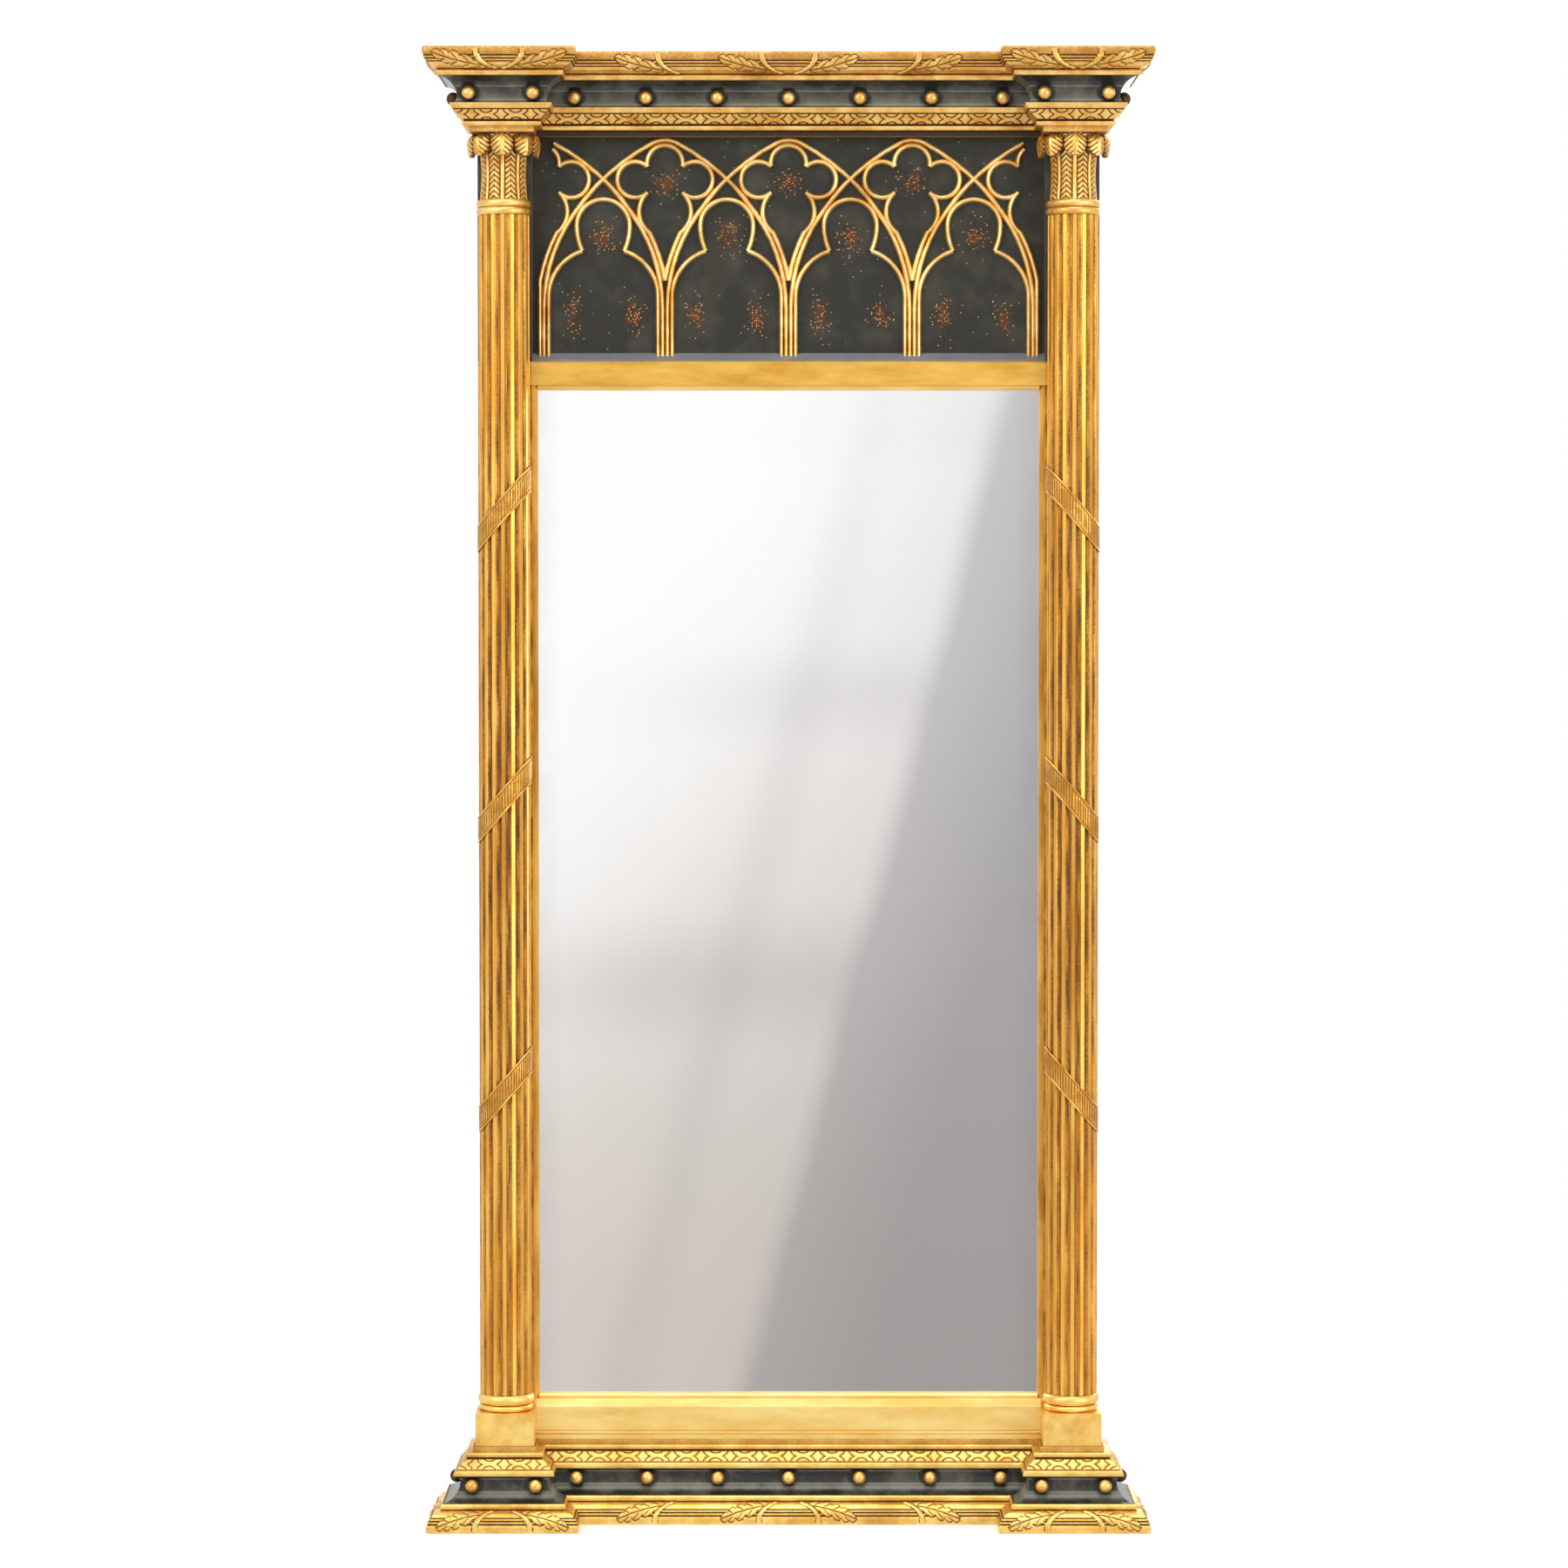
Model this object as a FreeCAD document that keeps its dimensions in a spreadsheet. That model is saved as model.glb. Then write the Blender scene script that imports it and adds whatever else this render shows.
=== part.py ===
import FreeCAD, Part
import math
import os
import re
import Sketcher

# A pier mirror: a breakfront cornice and base on four corner blocks, two fluted columns on stiles,
# a mirror plate below a frieze of Gothic tracery. X runs to the right, the front faces -Y, Z is up.
# In this file "front" distances are measured from the wall plane towards the viewer.

SIZES = [
    # name, millimetres or plain number, what it is
    ("overall_height", 1300, "floor to the top of the cornice"),
    ("column_spacing", 503, "between the axes of the columns"),
    ("frame_thickness", 26, "stiles and rails, wall to front"),
    ("breakfront", 40, "corner blocks ahead of the frame"),
    ("block_width", 54, "core of a corner block"),
    ("joint_gap", 0.1, "glue line round a tenon or in a rebate"),
    ("overrun", 2, "how far a cut runs past the wood"),
    ("crown_projection", 40, "edge of the crown ahead of its core"),
    ("crown_lip", 3.5, "upright edge of the crown"),
    ("crown_height", 18, "carved part of the crown"),
    ("crown_radius", 15, "swell of the carved part"),
    ("crown_neck_projection", 28.5, "carved part where it meets the bead"),
    ("crown_bead_projection", 26, "flat that carries the bead"),
    ("crown_bead_height", 6, "bead beside the cove"),
    ("crown_bead_radius", 3.1, "bead beside the cove"),
    ("cove_height", 22.5, "ebonised scotia"),
    ("cove_foot_projection", 25, "scotia where it meets the crown"),
    ("cove_throat_projection", 11.5, "deepest part of the scotia"),
    ("cove_throat_height", 17, "deepest part above the scotia's foot"),
    ("cove_lip_projection", 16.8, "scotia where it meets the band"),
    ("band_projection", 17.5, "fillet of the lattice band"),
    ("band_fillet_height", 5.3, "fillet of the lattice band"),
    ("band_fillet_radius", 6, "rounding of the fillet"),
    ("band_foot_projection", 14.8, "foot of the lattice slope"),
    ("band_height", 9, "lattice slope"),
    ("band_head_projection", 6.2, "head of the lattice slope"),
    ("band_bead_height", 4.7, "bead above the lattice"),
    ("band_bead_radius", 2.6, "bead above the lattice"),
    ("neck_projection", 1.2, "plain neck against plinth or capital"),
    ("neck_height", 4.5, "plain neck against plinth or capital"),
    ("ball_radius", 5.9, "turned balls in the scotia"),
    ("ball_below_throat", 3, "ball centre below the deepest part of the scotia"),
    ("ball_pitch", 63, "balls along the centre"),
    ("ball_pair", 56, "two balls on the front of a block"),
    ("plinth_width", 52, "block under a column"),
    ("plinth_projection", 39, "block ahead of the stile"),
    ("plinth_height", 29, "block under a column"),
    ("plinth_chamfer", 1, "eased edges of the plinth"),
    ("column_base_height", 15, "turned base of a column"),
    ("column_base_radius", 25, "widest part of the turned base"),
    ("column_base_ease", 3, "rounding of its swell"),
    ("column_base_swell", 10, "height of its swell"),
    ("column_radius", 22.4, "shaft over its fillets"),
    ("column_stand", 13, "column axis ahead of the stile"),
    ("flute_count", 10, "flutes in front of the flat back"),
    ("flute_angle", 22.5, "between two flutes"),
    ("flute_radius", 3.6, "hollow of a flute"),
    ("flute_out", 1.4, "centre of the hollow outside the shaft"),
    ("flute_stop", 9, "plain shaft beyond the ends of the flutes"),
    ("ribbon_thickness", 1.8, "ribbon standing off the shaft"),
    ("ribbon_height", 24, "ribbon measured upright"),
    ("ribbon_rise", 55, "ribbon from one side of the shaft to the other"),
    ("ribbon_first", 786, "middle of the top ribbon above the shaft's foot"),
    ("ribbon_step", 257.5, "from one ribbon to the next"),
    ("necking_height", 13.5, "double ring over the shaft"),
    ("necking_radius", 24, "double ring over the shaft"),
    ("necking_ease", 2, "rounding of one ring"),
    ("necking_groove_radius", 22, "groove beside the rings"),
    ("bell_foot_radius", 20.4, "bell of the capital above the rings"),
    ("bell_head_radius", 23, "bell of the capital under the cornice"),
    ("bell_hollow", 3, "hollow of the bell's side"),
    ("leaf_count", 5, "leaves in front of the flat back"),
    ("leaf_angle", 45, "between two leaves"),
    ("capital_height", 58, "bell and leaves, rings to cornice"),
    ("leaf_root_height", 30, "leaf roots above the foot of the bell"),
    ("leaf_reach", 33, "leaf tips from the column axis"),
    ("leaf_width", 21, "widest part of a leaf"),
    ("leaf_thickness", 5, "leaf at its midrib"),
    ("leaf_head_gap", 1, "leaf under the cornice"),
    ("leaf_drop", 11, "leaf tips below the crook"),
    ("leaf_end_share", 0.5, "width at root and tip, and thickness at the tip"),
    ("stile_width", 48, "upright behind a column"),
    ("rebate_width", 8, "ledge behind the sight edge"),
    ("rebate_depth", 16, "wall to the ledge of the rebate"),
    ("tenon_length", 20, "tenons of rails and stiles"),
    ("tenon_thickness", 7, "tenons of rails and stiles"),
    ("tenon_front", 24.5, "wall to the front of a tenon"),
    ("tenon_shoulder", 3, "rail above and below its tenon"),
    ("stile_tenon_width", 24, "tenon on the end of a stile"),
    ("bottom_rail_height", 36, "rail between the base and the glass"),
    ("bottom_rail_front", 29.5, "wall to the flat of the bottom rail"),
    ("bottom_rail_bevel", 7, "bevel along its upper edge"),
    ("bottom_rail_step", 4, "plain step under its bead"),
    ("bottom_rail_bead", 4, "bead along its lower edge"),
    ("bottom_rail_bead_radius", 2.1, "bead along its lower edge"),
    ("middle_rail_height", 21, "rail between the glass and the frieze"),
    ("middle_rail_front", 30, "wall to the front of the middle rail"),
    ("middle_rail_ease", 1.2, "eased upper edge of the middle rail"),
    ("middle_rail_over", 2, "middle rail's front over each stile"),
    ("frieze_height", 199, "opening of the frieze"),
    ("slip_width", 4.5, "sight slip beside the glass"),
    ("slip_height", 4, "sight slip above and below the glass"),
    ("slip_front", 23, "wall to the front of the slips"),
    ("slip_ease", 2, "slope on the sight edge of a slip"),
    ("glass_thickness", 4, "mirror plate"),
    ("glass_edge", 1, "free space round the plate"),
    ("backboard_thickness", 6, "board behind the plate"),
    ("fillet_width", 7.5, "strips that hold the backboard"),
    ("panel_thickness", 6, "frieze panel"),
    ("sill_back_height", 8, "sloped sill against the panel"),
    ("sill_front_height", 2, "sloped sill at its front edge"),
    ("glue_block_length", 30, "blocks behind the frieze panel"),
    ("glue_block_count", 4, "blocks along one edge of the panel"),
    ("bay_pitch", 109.7, "from one mullion of the tracery to the next"),
    ("rib_width", 4.2, "rib of the tracery at the panel"),
    ("rib_depth", 5.5, "rib ahead of the panel"),
    ("rib_sag", 0.45, "most that a straight run of a rib leaves its arc"),
    ("arch_rib_offset", 2.6, "arch ribs from the axis of a mullion"),
    ("lancet_rib_offset", 7.6, "lancet ribs from the axis of a mullion"),
    ("end_rib_offset", 1.4, "outer rib of an end mullion from its axis"),
    ("arch_haunch_radius", 144, "arch rib above its springing"),
    ("arch_haunch_angle", 60, "slope where the haunch ends"),
    ("arch_crown_angle", 28, "slope where the apex begins"),
    ("arch_apex_radius", 24, "rounded apex"),
    ("arch_head_gap", 2.4, "apex under the cornice"),
    ("lancet_spring", 58, "straight lancet rib above the middle rail"),
    ("lancet_cusp_height", 98.3, "cusps of a lancet above the middle rail"),
    ("lancet_cusp_offset", 18.6, "cusps from the middle of a lancet"),
    ("lancet_head_radius", 23.5, "round head of a lancet"),
    ("lancet_head_height", 118.5, "centre of the head above the middle rail"),
    ("foil_head_gap", 5.1, "top lobe of a quatrefoil under the cornice"),
    ("foil_radius", 15.8, "three round lobes of a quatrefoil"),
    ("foil_top_offset", 14.5, "centre of the top lobe above the centre"),
    ("foil_side_offset", 26.4, "centres of the side lobes"),
    ("drop_radius", 23, "swell of the bottom lobe"),
    ("drop_waist_width", 13.5, "bottom lobe where it turns"),
    ("drop_waist", 47, "turn of the bottom lobe below the centre"),
    ("drop_arch_gap", 4.6, "flanks of the bottom lobe beside the arches"),
    ("drop_tip", 89.3, "tip of the bottom lobe below the centre"),
    ("end_foil_cut", 10, "end quatrefoils start this far inside the end mullions"),
    ("hanger_drop", 290, "hanger eyes below the top of the cornice"),
    ("pocket_width", 32, "pocket for a hanger"),
    ("pocket_depth", 8, "pocket for a hanger"),
    ("pocket_above", 38, "pocket above the eye"),
    ("pocket_below", 58, "pocket below the eye"),
    ("strap_width", 15, "steel strap of a hanger"),
    ("strap_thickness", 1.5, "steel strap of a hanger"),
    ("strap_length", 50, "strap below the eye"),
    ("ring_wire_radius", 1.9, "wire of the hanger ring"),
    ("eye_clearance", 0.06, "round the ring wire in the eye"),
    ("eye_lift", 4, "eye axis off the floor of the pocket"),
    ("ring_half_width", 12.5, "ring wire from the middle"),
    ("ring_corner", 4, "corners beside the eye"),
    ("ring_length", 23.5, "eye axis to the end of the ring"),
    ("ring_end", 7, "corners at the end of the ring"),
    ("hanger_screw_first", 31, "upper screw below the eye"),
    ("hanger_screw_step", 12, "between the two screws of a strap"),
    ("hanger_screw_radius", 1.7, "screw shank"),
    ("hanger_screw_head", 3.2, "screw head"),
    ("hanger_screw_rise", 1.2, "screw head off the strap"),
    ("hanger_screw_length", 14, "screws of the hangers"),
]
SIDES = {"left": -1, "right": 1}
HANGER_SCREWS = range(2)
RIBBONS = range(3)

doc = FreeCAD.newDocument("pier_mirror")
sheet = doc.addObject("Spreadsheet::Sheet", "Sizes")
for row, (alias, number, note) in enumerate(SIZES, start=1):
    sheet.set("A%d" % row, note)
    sheet.set("B%d" % row, str(number))
    sheet.setAlias("B%d" % row, alias)
doc.recompute()
worked = doc.addObject("Spreadsheet::Sheet", "Worked")
ALIASES = {alias for alias, number, note in SIZES}
NODES = []


def value(formula):
    """Number that a formula in the names of the sheet gives."""
    worked.set("A1", "=" + bound(formula))
    worked.recompute()
    return float(worked.get("A1"))


def bound(formula):
    """The same formula as other objects of the document write it."""
    return re.sub(r"[a-z_]+", lambda word: "Sizes." * (word.group() in ALIASES) + word.group(), formula)


# Levels and places that several pieces share.
CROWN_TOP = "(crown_height + crown_bead_height)"
COVE_TOP = "(%s + cove_height)" % CROWN_TOP
BAND_FOOT = "(%s + band_fillet_height)" % COVE_TOP
BAND_HEAD = "(%s + band_height)" % BAND_FOOT
BEAD_TOP = "(%s + band_bead_height)" % BAND_HEAD
BASE_TOP = "(%s + neck_height)" % BEAD_TOP
CORNICE_FOOT = "(overall_height - %s)" % BASE_TOP
BLOCK_FRONT = "(frame_thickness + breakfront)"
DEPTH = "(%s + crown_projection)" % BLOCK_FRONT
WALL_Y = "(%s / 2)" % DEPTH
COLUMN_X = "(column_spacing / 2)"
BLOCK_INSIDE = "(%s - block_width / 2)" % COLUMN_X
STILE_INSIDE = "(%s - stile_width / 2)" % COLUMN_X
COLUMN_FRONT = "(frame_thickness + column_stand)"
SHAFT_FOOT = "(%s + plinth_height + column_base_height)" % BASE_TOP
CAPITAL_FOOT = "(%s - capital_height)" % CORNICE_FOOT
SHAFT_HEAD = "(%s - necking_height)" % CAPITAL_FOOT
GLASS_FOOT = "(%s + bottom_rail_height)" % BASE_TOP
MIDDLE_TOP = "(%s - frieze_height)" % CORNICE_FOOT
GLASS_HEAD = "(%s - middle_rail_height)" % MIDDLE_TOP
PANEL_FRONT = "rebate_depth"
HANGER_Z = "(overall_height - hanger_drop)"
FOIL_HEIGHT = "(frieze_height - foil_head_gap - rib_width / 2 - foil_radius - foil_top_offset)"


# Drawing helpers. A corner is (across, up) or (across, up, radius, turn): the last form is reached by an arc
# that turns left (1) or right (-1). Plan corners are (x, front), elevations (x, z), sections (front, z).
PLANES = {"plan": "XY_Plane", "elevation": "XZ_Plane", "section": "YZ_Plane"}
MIRRORED = {"plan": -1, "elevation": 1, "section": -1}


def on_sheet(plane, corner):
    across, up = corner[:2]
    if plane == "plan":
        up = "-(%s)" % up if up != "0" else up
    if plane == "section":
        across = "-(%s)" % across if across != "0" else across
    return across, up


def pin(sketch, item, end, spot):
    """Holds one end of a line or arc at formulas for its two distances from the origin."""
    for kind, axis, formula in (("DistanceX", -2, spot[0]), ("DistanceY", -1, spot[1])):
        if formula == "0":
            sketch.addConstraint(Sketcher.Constraint("PointOnObject", item, end, axis))
            continue
        number = sketch.addConstraint(Sketcher.Constraint(kind, -1, 1, item, end, value(formula)))
        sketch.setExpression("Constraints[%d]" % number, bound(formula))


def hold_radius(sketch, item, radius):
    number = sketch.addConstraint(Sketcher.Constraint("Radius", item, value(radius)))
    sketch.setExpression("Constraints[%d]" % number, bound(radius))


def draw(sketch, plane, corners, closed=True):
    """Adds an outline of straight lines and arcs."""
    ends = corners[1:] + corners[:1] if closed else corners[1:]
    for first, last in zip(corners, ends):
        spots = [on_sheet(plane, first), on_sheet(plane, last)]
        points = [FreeCAD.Vector(value(spot[0]), value(spot[1]), 0) for spot in spots]
        if len(last) == 2:
            item = sketch.addGeometry(Part.LineSegment(*points), False)
        else:
            radius, turn = last[2], last[3] * MIRRORED[plane]
            chord = points[1] - points[0]
            sag = value(radius) - math.sqrt(max(value(radius) ** 2 - (chord.Length / 2) ** 2, 0))
            outward = FreeCAD.Vector(chord.y, -chord.x, 0).normalize() * turn
            middle = (points[0] + points[1]) / 2 + outward * sag
            item = sketch.addGeometry(Part.Arc(points[0], middle, points[1]), False)
            hold_radius(sketch, item, radius)
            if turn < 0:
                spots.reverse()
        pin(sketch, item, 1, spots[0])
        pin(sketch, item, 2, spots[1])


def draw_circle(sketch, plane, centre, radius):
    spot = on_sheet(plane, centre)
    point = FreeCAD.Vector(value(spot[0]), value(spot[1]), 0)
    item = sketch.addGeometry(Part.Circle(point, FreeCAD.Vector(0, 0, 1), value(radius)), False)
    pin(sketch, item, 3, spot)
    hold_radius(sketch, item, radius)


def new_sketch(body, plane, shift="0"):
    sketch = body.newObject("Sketcher::SketchObject", plane)
    origin = {feature.Role: feature for feature in body.Origin.OriginFeatures}
    sketch.AttachmentSupport = [(origin[PLANES[plane]], "")]
    sketch.MapMode = "FlatFace"
    sketch.setExpression("AttachmentOffset.Base.z", bound(shift))
    return sketch


def rectangle(left, right, low, high):
    return [(left, low), (right, low), (right, high), (left, high)]


def place(item, x="0", front="0", z="0"):
    item.setExpression("Placement.Base.x", bound(x))
    item.setExpression("Placement.Base.y", bound("%s - (%s)" % (WALL_Y, front)))
    item.setExpression("Placement.Base.z", bound(z))


def keep(item, label):
    item.Label = label
    NODES.append(item)
    return item


def new_body(label, x="0", front="0", z="0", alone=True):
    """A body at a place: a node of its own, or one piece of a group."""
    body = doc.addObject("PartDesign::Body", label)
    place(body, x, front, z)
    return keep(body, label) if alone else body


def thicken(body, kind, plane, outline, start, end, circle=None):
    """Pad or Pocket of an outline, or of a circle (centre, radius), from start to end across its plane."""
    sketch = new_sketch(body, plane, "((%s) + (%s)) / 2" % (start, end))
    if circle:
        draw_circle(sketch, plane, *circle)
    else:
        draw(sketch, plane, outline)
    feature = body.newObject("PartDesign::" + kind, kind)
    feature.Profile = sketch
    feature.SideType = "Symmetric"
    feature.setExpression("Length", bound("abs((%s) - (%s))" % (end, start)))
    return feature


def pad(body, plane, outline, start, end, circle=None):
    return thicken(body, "Pad", plane, outline, start, end, circle)


def pocket(body, plane, outline, start, end, circle=None):
    return thicken(body, "Pocket", plane, outline, start, end, circle)


def revolve(body, outline):
    """Turned solid: an outline of (radius, z) corners about the body's upright axis."""
    sketch = new_sketch(body, "elevation")
    draw(sketch, "elevation", outline)
    feature = body.newObject("PartDesign::Revolution", "Turned")
    feature.Profile = sketch
    feature.ReferenceAxis = (sketch, ["V_Axis"])
    feature.Angle = 360
    return feature


def flat_back(body, radius, height):
    """Planes a turned piece flat where it stands against the stile."""
    wide = "(%s + overrun)" % radius
    back = rectangle("-" + wide, wide, "-" + wide, "-column_stand")
    pocket(body, "plan", back, "-overrun", "%s + overrun" % height)


def on_side(side, formula):
    return "%d * (%s)" % (side, formula)


def box(label, x, front, z):
    """A plain board between (start, end) pairs of formulas."""
    board = doc.addObject("Part::Box", label)
    board.setExpression("Length", bound("abs((%s) - (%s))" % (x[1], x[0])))
    board.setExpression("Width", bound("(%s) - (%s)" % (front[1], front[0])))
    board.setExpression("Height", bound("(%s) - (%s)" % (z[1], z[0])))
    place(board, "min(%s; %s)" % x, front[1], z[0])
    return board


def faceted(rings):
    """Solid over rings of points, end to end: flat triangles between the rings, a flat face at each end."""
    outlines = [rings[0][::-1], rings[-1]]
    for low, high in zip(rings, rings[1:]):
        for first in range(len(low)):
            last = (first + 1) % len(low)
            outlines += [[low[first], low[last], high[last]], [low[first], high[last], high[first]]]
    faces = [Part.Face(Part.makePolygon(outline + outline[:1])) for outline in outlines]
    solid = Part.Solid(Part.Shell(faces))
    return solid if solid.Volume > 0 else solid.reversed()


def group(label, items):
    bundle = doc.addObject("Part::Compound", label)
    bundle.Links = items
    return keep(bundle, label)


# Corner blocks, the cores of the breakfront. Each takes a stile's tenon and a rail's tenon.
def corner_block(label, side, foot, head, stile_end):
    body = new_body(label)
    outside = on_side(side, "%s + block_width / 2" % COLUMN_X)
    inside = on_side(side, BLOCK_INSIDE)
    pad(body, "plan", rectangle(inside, outside, "0", BLOCK_FRONT), foot, head)
    slot = ["tenon_front - tenon_thickness - joint_gap", "tenon_front + joint_gap"]
    half = "(stile_tenon_width / 2 + joint_gap)"
    socket = rectangle(on_side(side, "%s - %s" % (COLUMN_X, half)),
                       on_side(side, "%s + %s" % (COLUMN_X, half)), *slot)
    depth = "(tenon_length + joint_gap)"
    pocket(body, "plan", socket, "%s - %s" % (stile_end, depth), "%s + %s" % (stile_end, depth))
    rail_socket = rectangle(*slot, "%s + tenon_length" % foot, "%s - tenon_length" % head)
    pocket(body, "section", rail_socket, on_side(side, BLOCK_INSIDE + " - overrun"),
           on_side(side, "%s + %s" % (BLOCK_INSIDE, depth)))


# Mouldings: three layers, each mitred round a block (two returns and a front) or straight across the centre.
# Corners are (projection from the core, height from the floor); the cornice takes them upside down.
SCOTIA_DEPTH = "(cove_foot_projection - cove_throat_projection)"
SCOTIA_LIP = "(cove_lip_projection - cove_throat_projection)"
SCOTIA_RISE = "(cove_height - cove_throat_height)"
SCOTIA_RADIUS = "((%s^2 + cove_throat_height^2) / (2 * %s))" % (SCOTIA_DEPTH, SCOTIA_DEPTH)
SCOTIA_LIP_RADIUS = "((%s^2 + %s^2) / (2 * %s))" % (SCOTIA_LIP, SCOTIA_RISE, SCOTIA_LIP)
LAYERS = {
    "crown": [
        ("0", "0"),
        ("crown_projection", "0"),
        ("crown_projection", "crown_lip"),
        ("crown_neck_projection", "crown_height", "crown_radius", 1),
        ("crown_bead_projection", "crown_height"),
        ("crown_bead_projection", CROWN_TOP, "crown_bead_radius", 1),
        ("0", CROWN_TOP),
    ],
    "cove": [
        ("0", CROWN_TOP),
        ("cove_foot_projection", CROWN_TOP),
        ("cove_throat_projection", "%s + cove_throat_height" % CROWN_TOP, SCOTIA_RADIUS, -1),
        ("cove_lip_projection", COVE_TOP, SCOTIA_LIP_RADIUS, -1),
        ("0", COVE_TOP),
    ],
    "band": [
        ("0", COVE_TOP),
        ("band_projection", COVE_TOP),
        ("band_foot_projection", BAND_FOOT, "band_fillet_radius", 1),
        ("band_head_projection", BAND_HEAD),
        ("band_head_projection", BEAD_TOP, "band_bead_radius", 1),
        ("neck_projection", BEAD_TOP),
        ("neck_projection", BASE_TOP),
        ("0", BASE_TOP),
    ],
}
LEVELS = {"base": ("%s", 1), "cornice": ("overall_height - (%s)", -1)}


def raised(place_name, corner):
    """A moulding corner at its height on the base or, upside down, on the cornice."""
    form, turn = LEVELS[place_name]
    up = corner[1] if place_name == "base" and corner[1] == "0" else form % corner[1]
    return (corner[0], up) + tuple(corner[2:3]) + tuple(number * turn for number in corner[3:])


def mitre_cut(body, side, inside_corner, place_name):
    """Cuts a centre length, or the inner return of a block, along the inner mitre."""
    form = LEVELS[place_name][0]
    reach = "(crown_projection + overrun)"
    far = [(on_side(side, BLOCK_INSIDE), "frame_thickness"),
           (on_side(side, "%s - %s" % (BLOCK_INSIDE, reach)), "frame_thickness + " + reach), inside_corner]
    pocket(body, "plan", far, form % "-overrun", form % ("%s + overrun" % BASE_TOP))


def centre_moulding(place_name, layer):
    body = new_body("%s_%s_centre" % (place_name, layer))
    profile = [raised(place_name, corner) for corner in LAYERS[layer]]
    forward = [("frame_thickness + %s" % corner[0],) + tuple(corner[1:]) for corner in profile]
    pad(body, "section", forward, "-" + BLOCK_INSIDE, BLOCK_INSIDE)
    for side in SIDES.values():
        beyond = (on_side(side, BLOCK_INSIDE + " + overrun"), "frame_thickness + crown_projection + overrun")
        mitre_cut(body, side, beyond, place_name)


def block_moulding(place_name, layer, hand, side):
    body = new_body("%s_%s_%s" % (place_name, layer, hand))
    outside = "(%s + block_width / 2)" % COLUMN_X
    path = new_sketch(body, "plan")
    route = [(on_side(side, outside), "0"), (on_side(side, outside), BLOCK_FRONT),
             (on_side(side, BLOCK_INSIDE), BLOCK_FRONT), (on_side(side, BLOCK_INSIDE), "frame_thickness")]
    draw(path, "plan", route, closed=False)
    profile = new_sketch(body, "elevation")
    corners = [raised(place_name, corner) for corner in LAYERS[layer]]
    draw(profile, "elevation", [(on_side(side, "%s + %s" % (outside, corner[0])), corner[1]) + tuple(corner[2:3])
                                + tuple(number * side for number in corner[3:]) for corner in corners])
    doc.recompute()
    sweep = body.newObject("PartDesign::AdditivePipe", "Mitred")
    sweep.Profile = (profile, [""])
    sweep.Spine = (path, ["Edge%d" % number for number in range(1, len(route))])
    sweep.Transition = "Right corner"
    inner = (on_side(side, BLOCK_INSIDE + " - crown_projection - overrun"), "frame_thickness - overrun")
    mitre_cut(body, side, inner, place_name)


# Balls in the scotia: seven across the centre, two on each block's front, one on each outer side.
BALL_OUT = "(%s - sqrt((%s - ball_radius)^2 - ball_below_throat^2) + cove_throat_projection + joint_gap)" % (
    SCOTIA_RADIUS, SCOTIA_RADIUS)
BALL_UP = "(%s + cove_throat_height - ball_below_throat)" % CROWN_TOP
CENTRE_BALLS = range(-3, 4)
BALL_SIDES = 8
BALL_LEVELS = 3


def ball(x, front, z):
    """A ball cut to flat facets, eight round it in two rows, with a flat at each pole."""
    radius = value("ball_radius")
    rings = []
    for level in range(BALL_LEVELS):
        rise = math.pi * ((level + 1 / 2) / BALL_LEVELS - 1 / 2)
        turns = [2 * math.pi * side / BALL_SIDES for side in range(BALL_SIDES)]
        rings.append([FreeCAD.Vector(math.cos(rise) * math.cos(turn), math.cos(rise) * math.sin(turn),
                                     math.sin(rise)) * radius for turn in turns])
    return faceted(rings).translated(FreeCAD.Vector(value(x), -value(front), value(z)))


def balls(place_name):
    up = LEVELS[place_name][0] % BALL_UP
    solids = [ball("%d * ball_pitch" % step, "frame_thickness + " + BALL_OUT, up) for step in CENTRE_BALLS]
    for side in SIDES.values():
        for half in (-1, 1):
            x = "%s + %d * ball_pair / 2" % (on_side(side, COLUMN_X), half)
            solids.append(ball(x, "%s + %s" % (BLOCK_FRONT, BALL_OUT), up))
        outer = on_side(side, "%s + block_width / 2 + %s" % (COLUMN_X, BALL_OUT))
        solids.append(ball(outer, BLOCK_FRONT + " / 2", up))
    label = place_name + "_balls"
    piece = keep(doc.addObject("Part::Feature", label), label)
    piece.Shape = Part.makeCompound(solids)
    place(piece)


# Stiles: rebated for the glass and the panel, tenoned into the blocks, with a hanger pocket in the back.
HANGER_SCREW_Z = ["(%s - hanger_screw_first - %d * hanger_screw_step)" % (HANGER_Z, step)
                  for step in HANGER_SCREWS]
HANGER_SCREW_END = "(pocket_depth - strap_thickness + hanger_screw_length)"


def rail_tenon(foot, head, gap):
    """Cross-section of a rail's tenon, or of its mortise where the gap isn't nothing."""
    return rectangle("tenon_front - tenon_thickness - %s" % gap, "tenon_front + %s" % gap,
                     "%s + tenon_shoulder - %s" % (foot, gap), "%s - tenon_shoulder + %s" % (head, gap))


def drill(body, side, z, radius, start, end):
    pocket(body, "elevation", None, start, end, circle=((on_side(side, COLUMN_X), z), radius))


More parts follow.
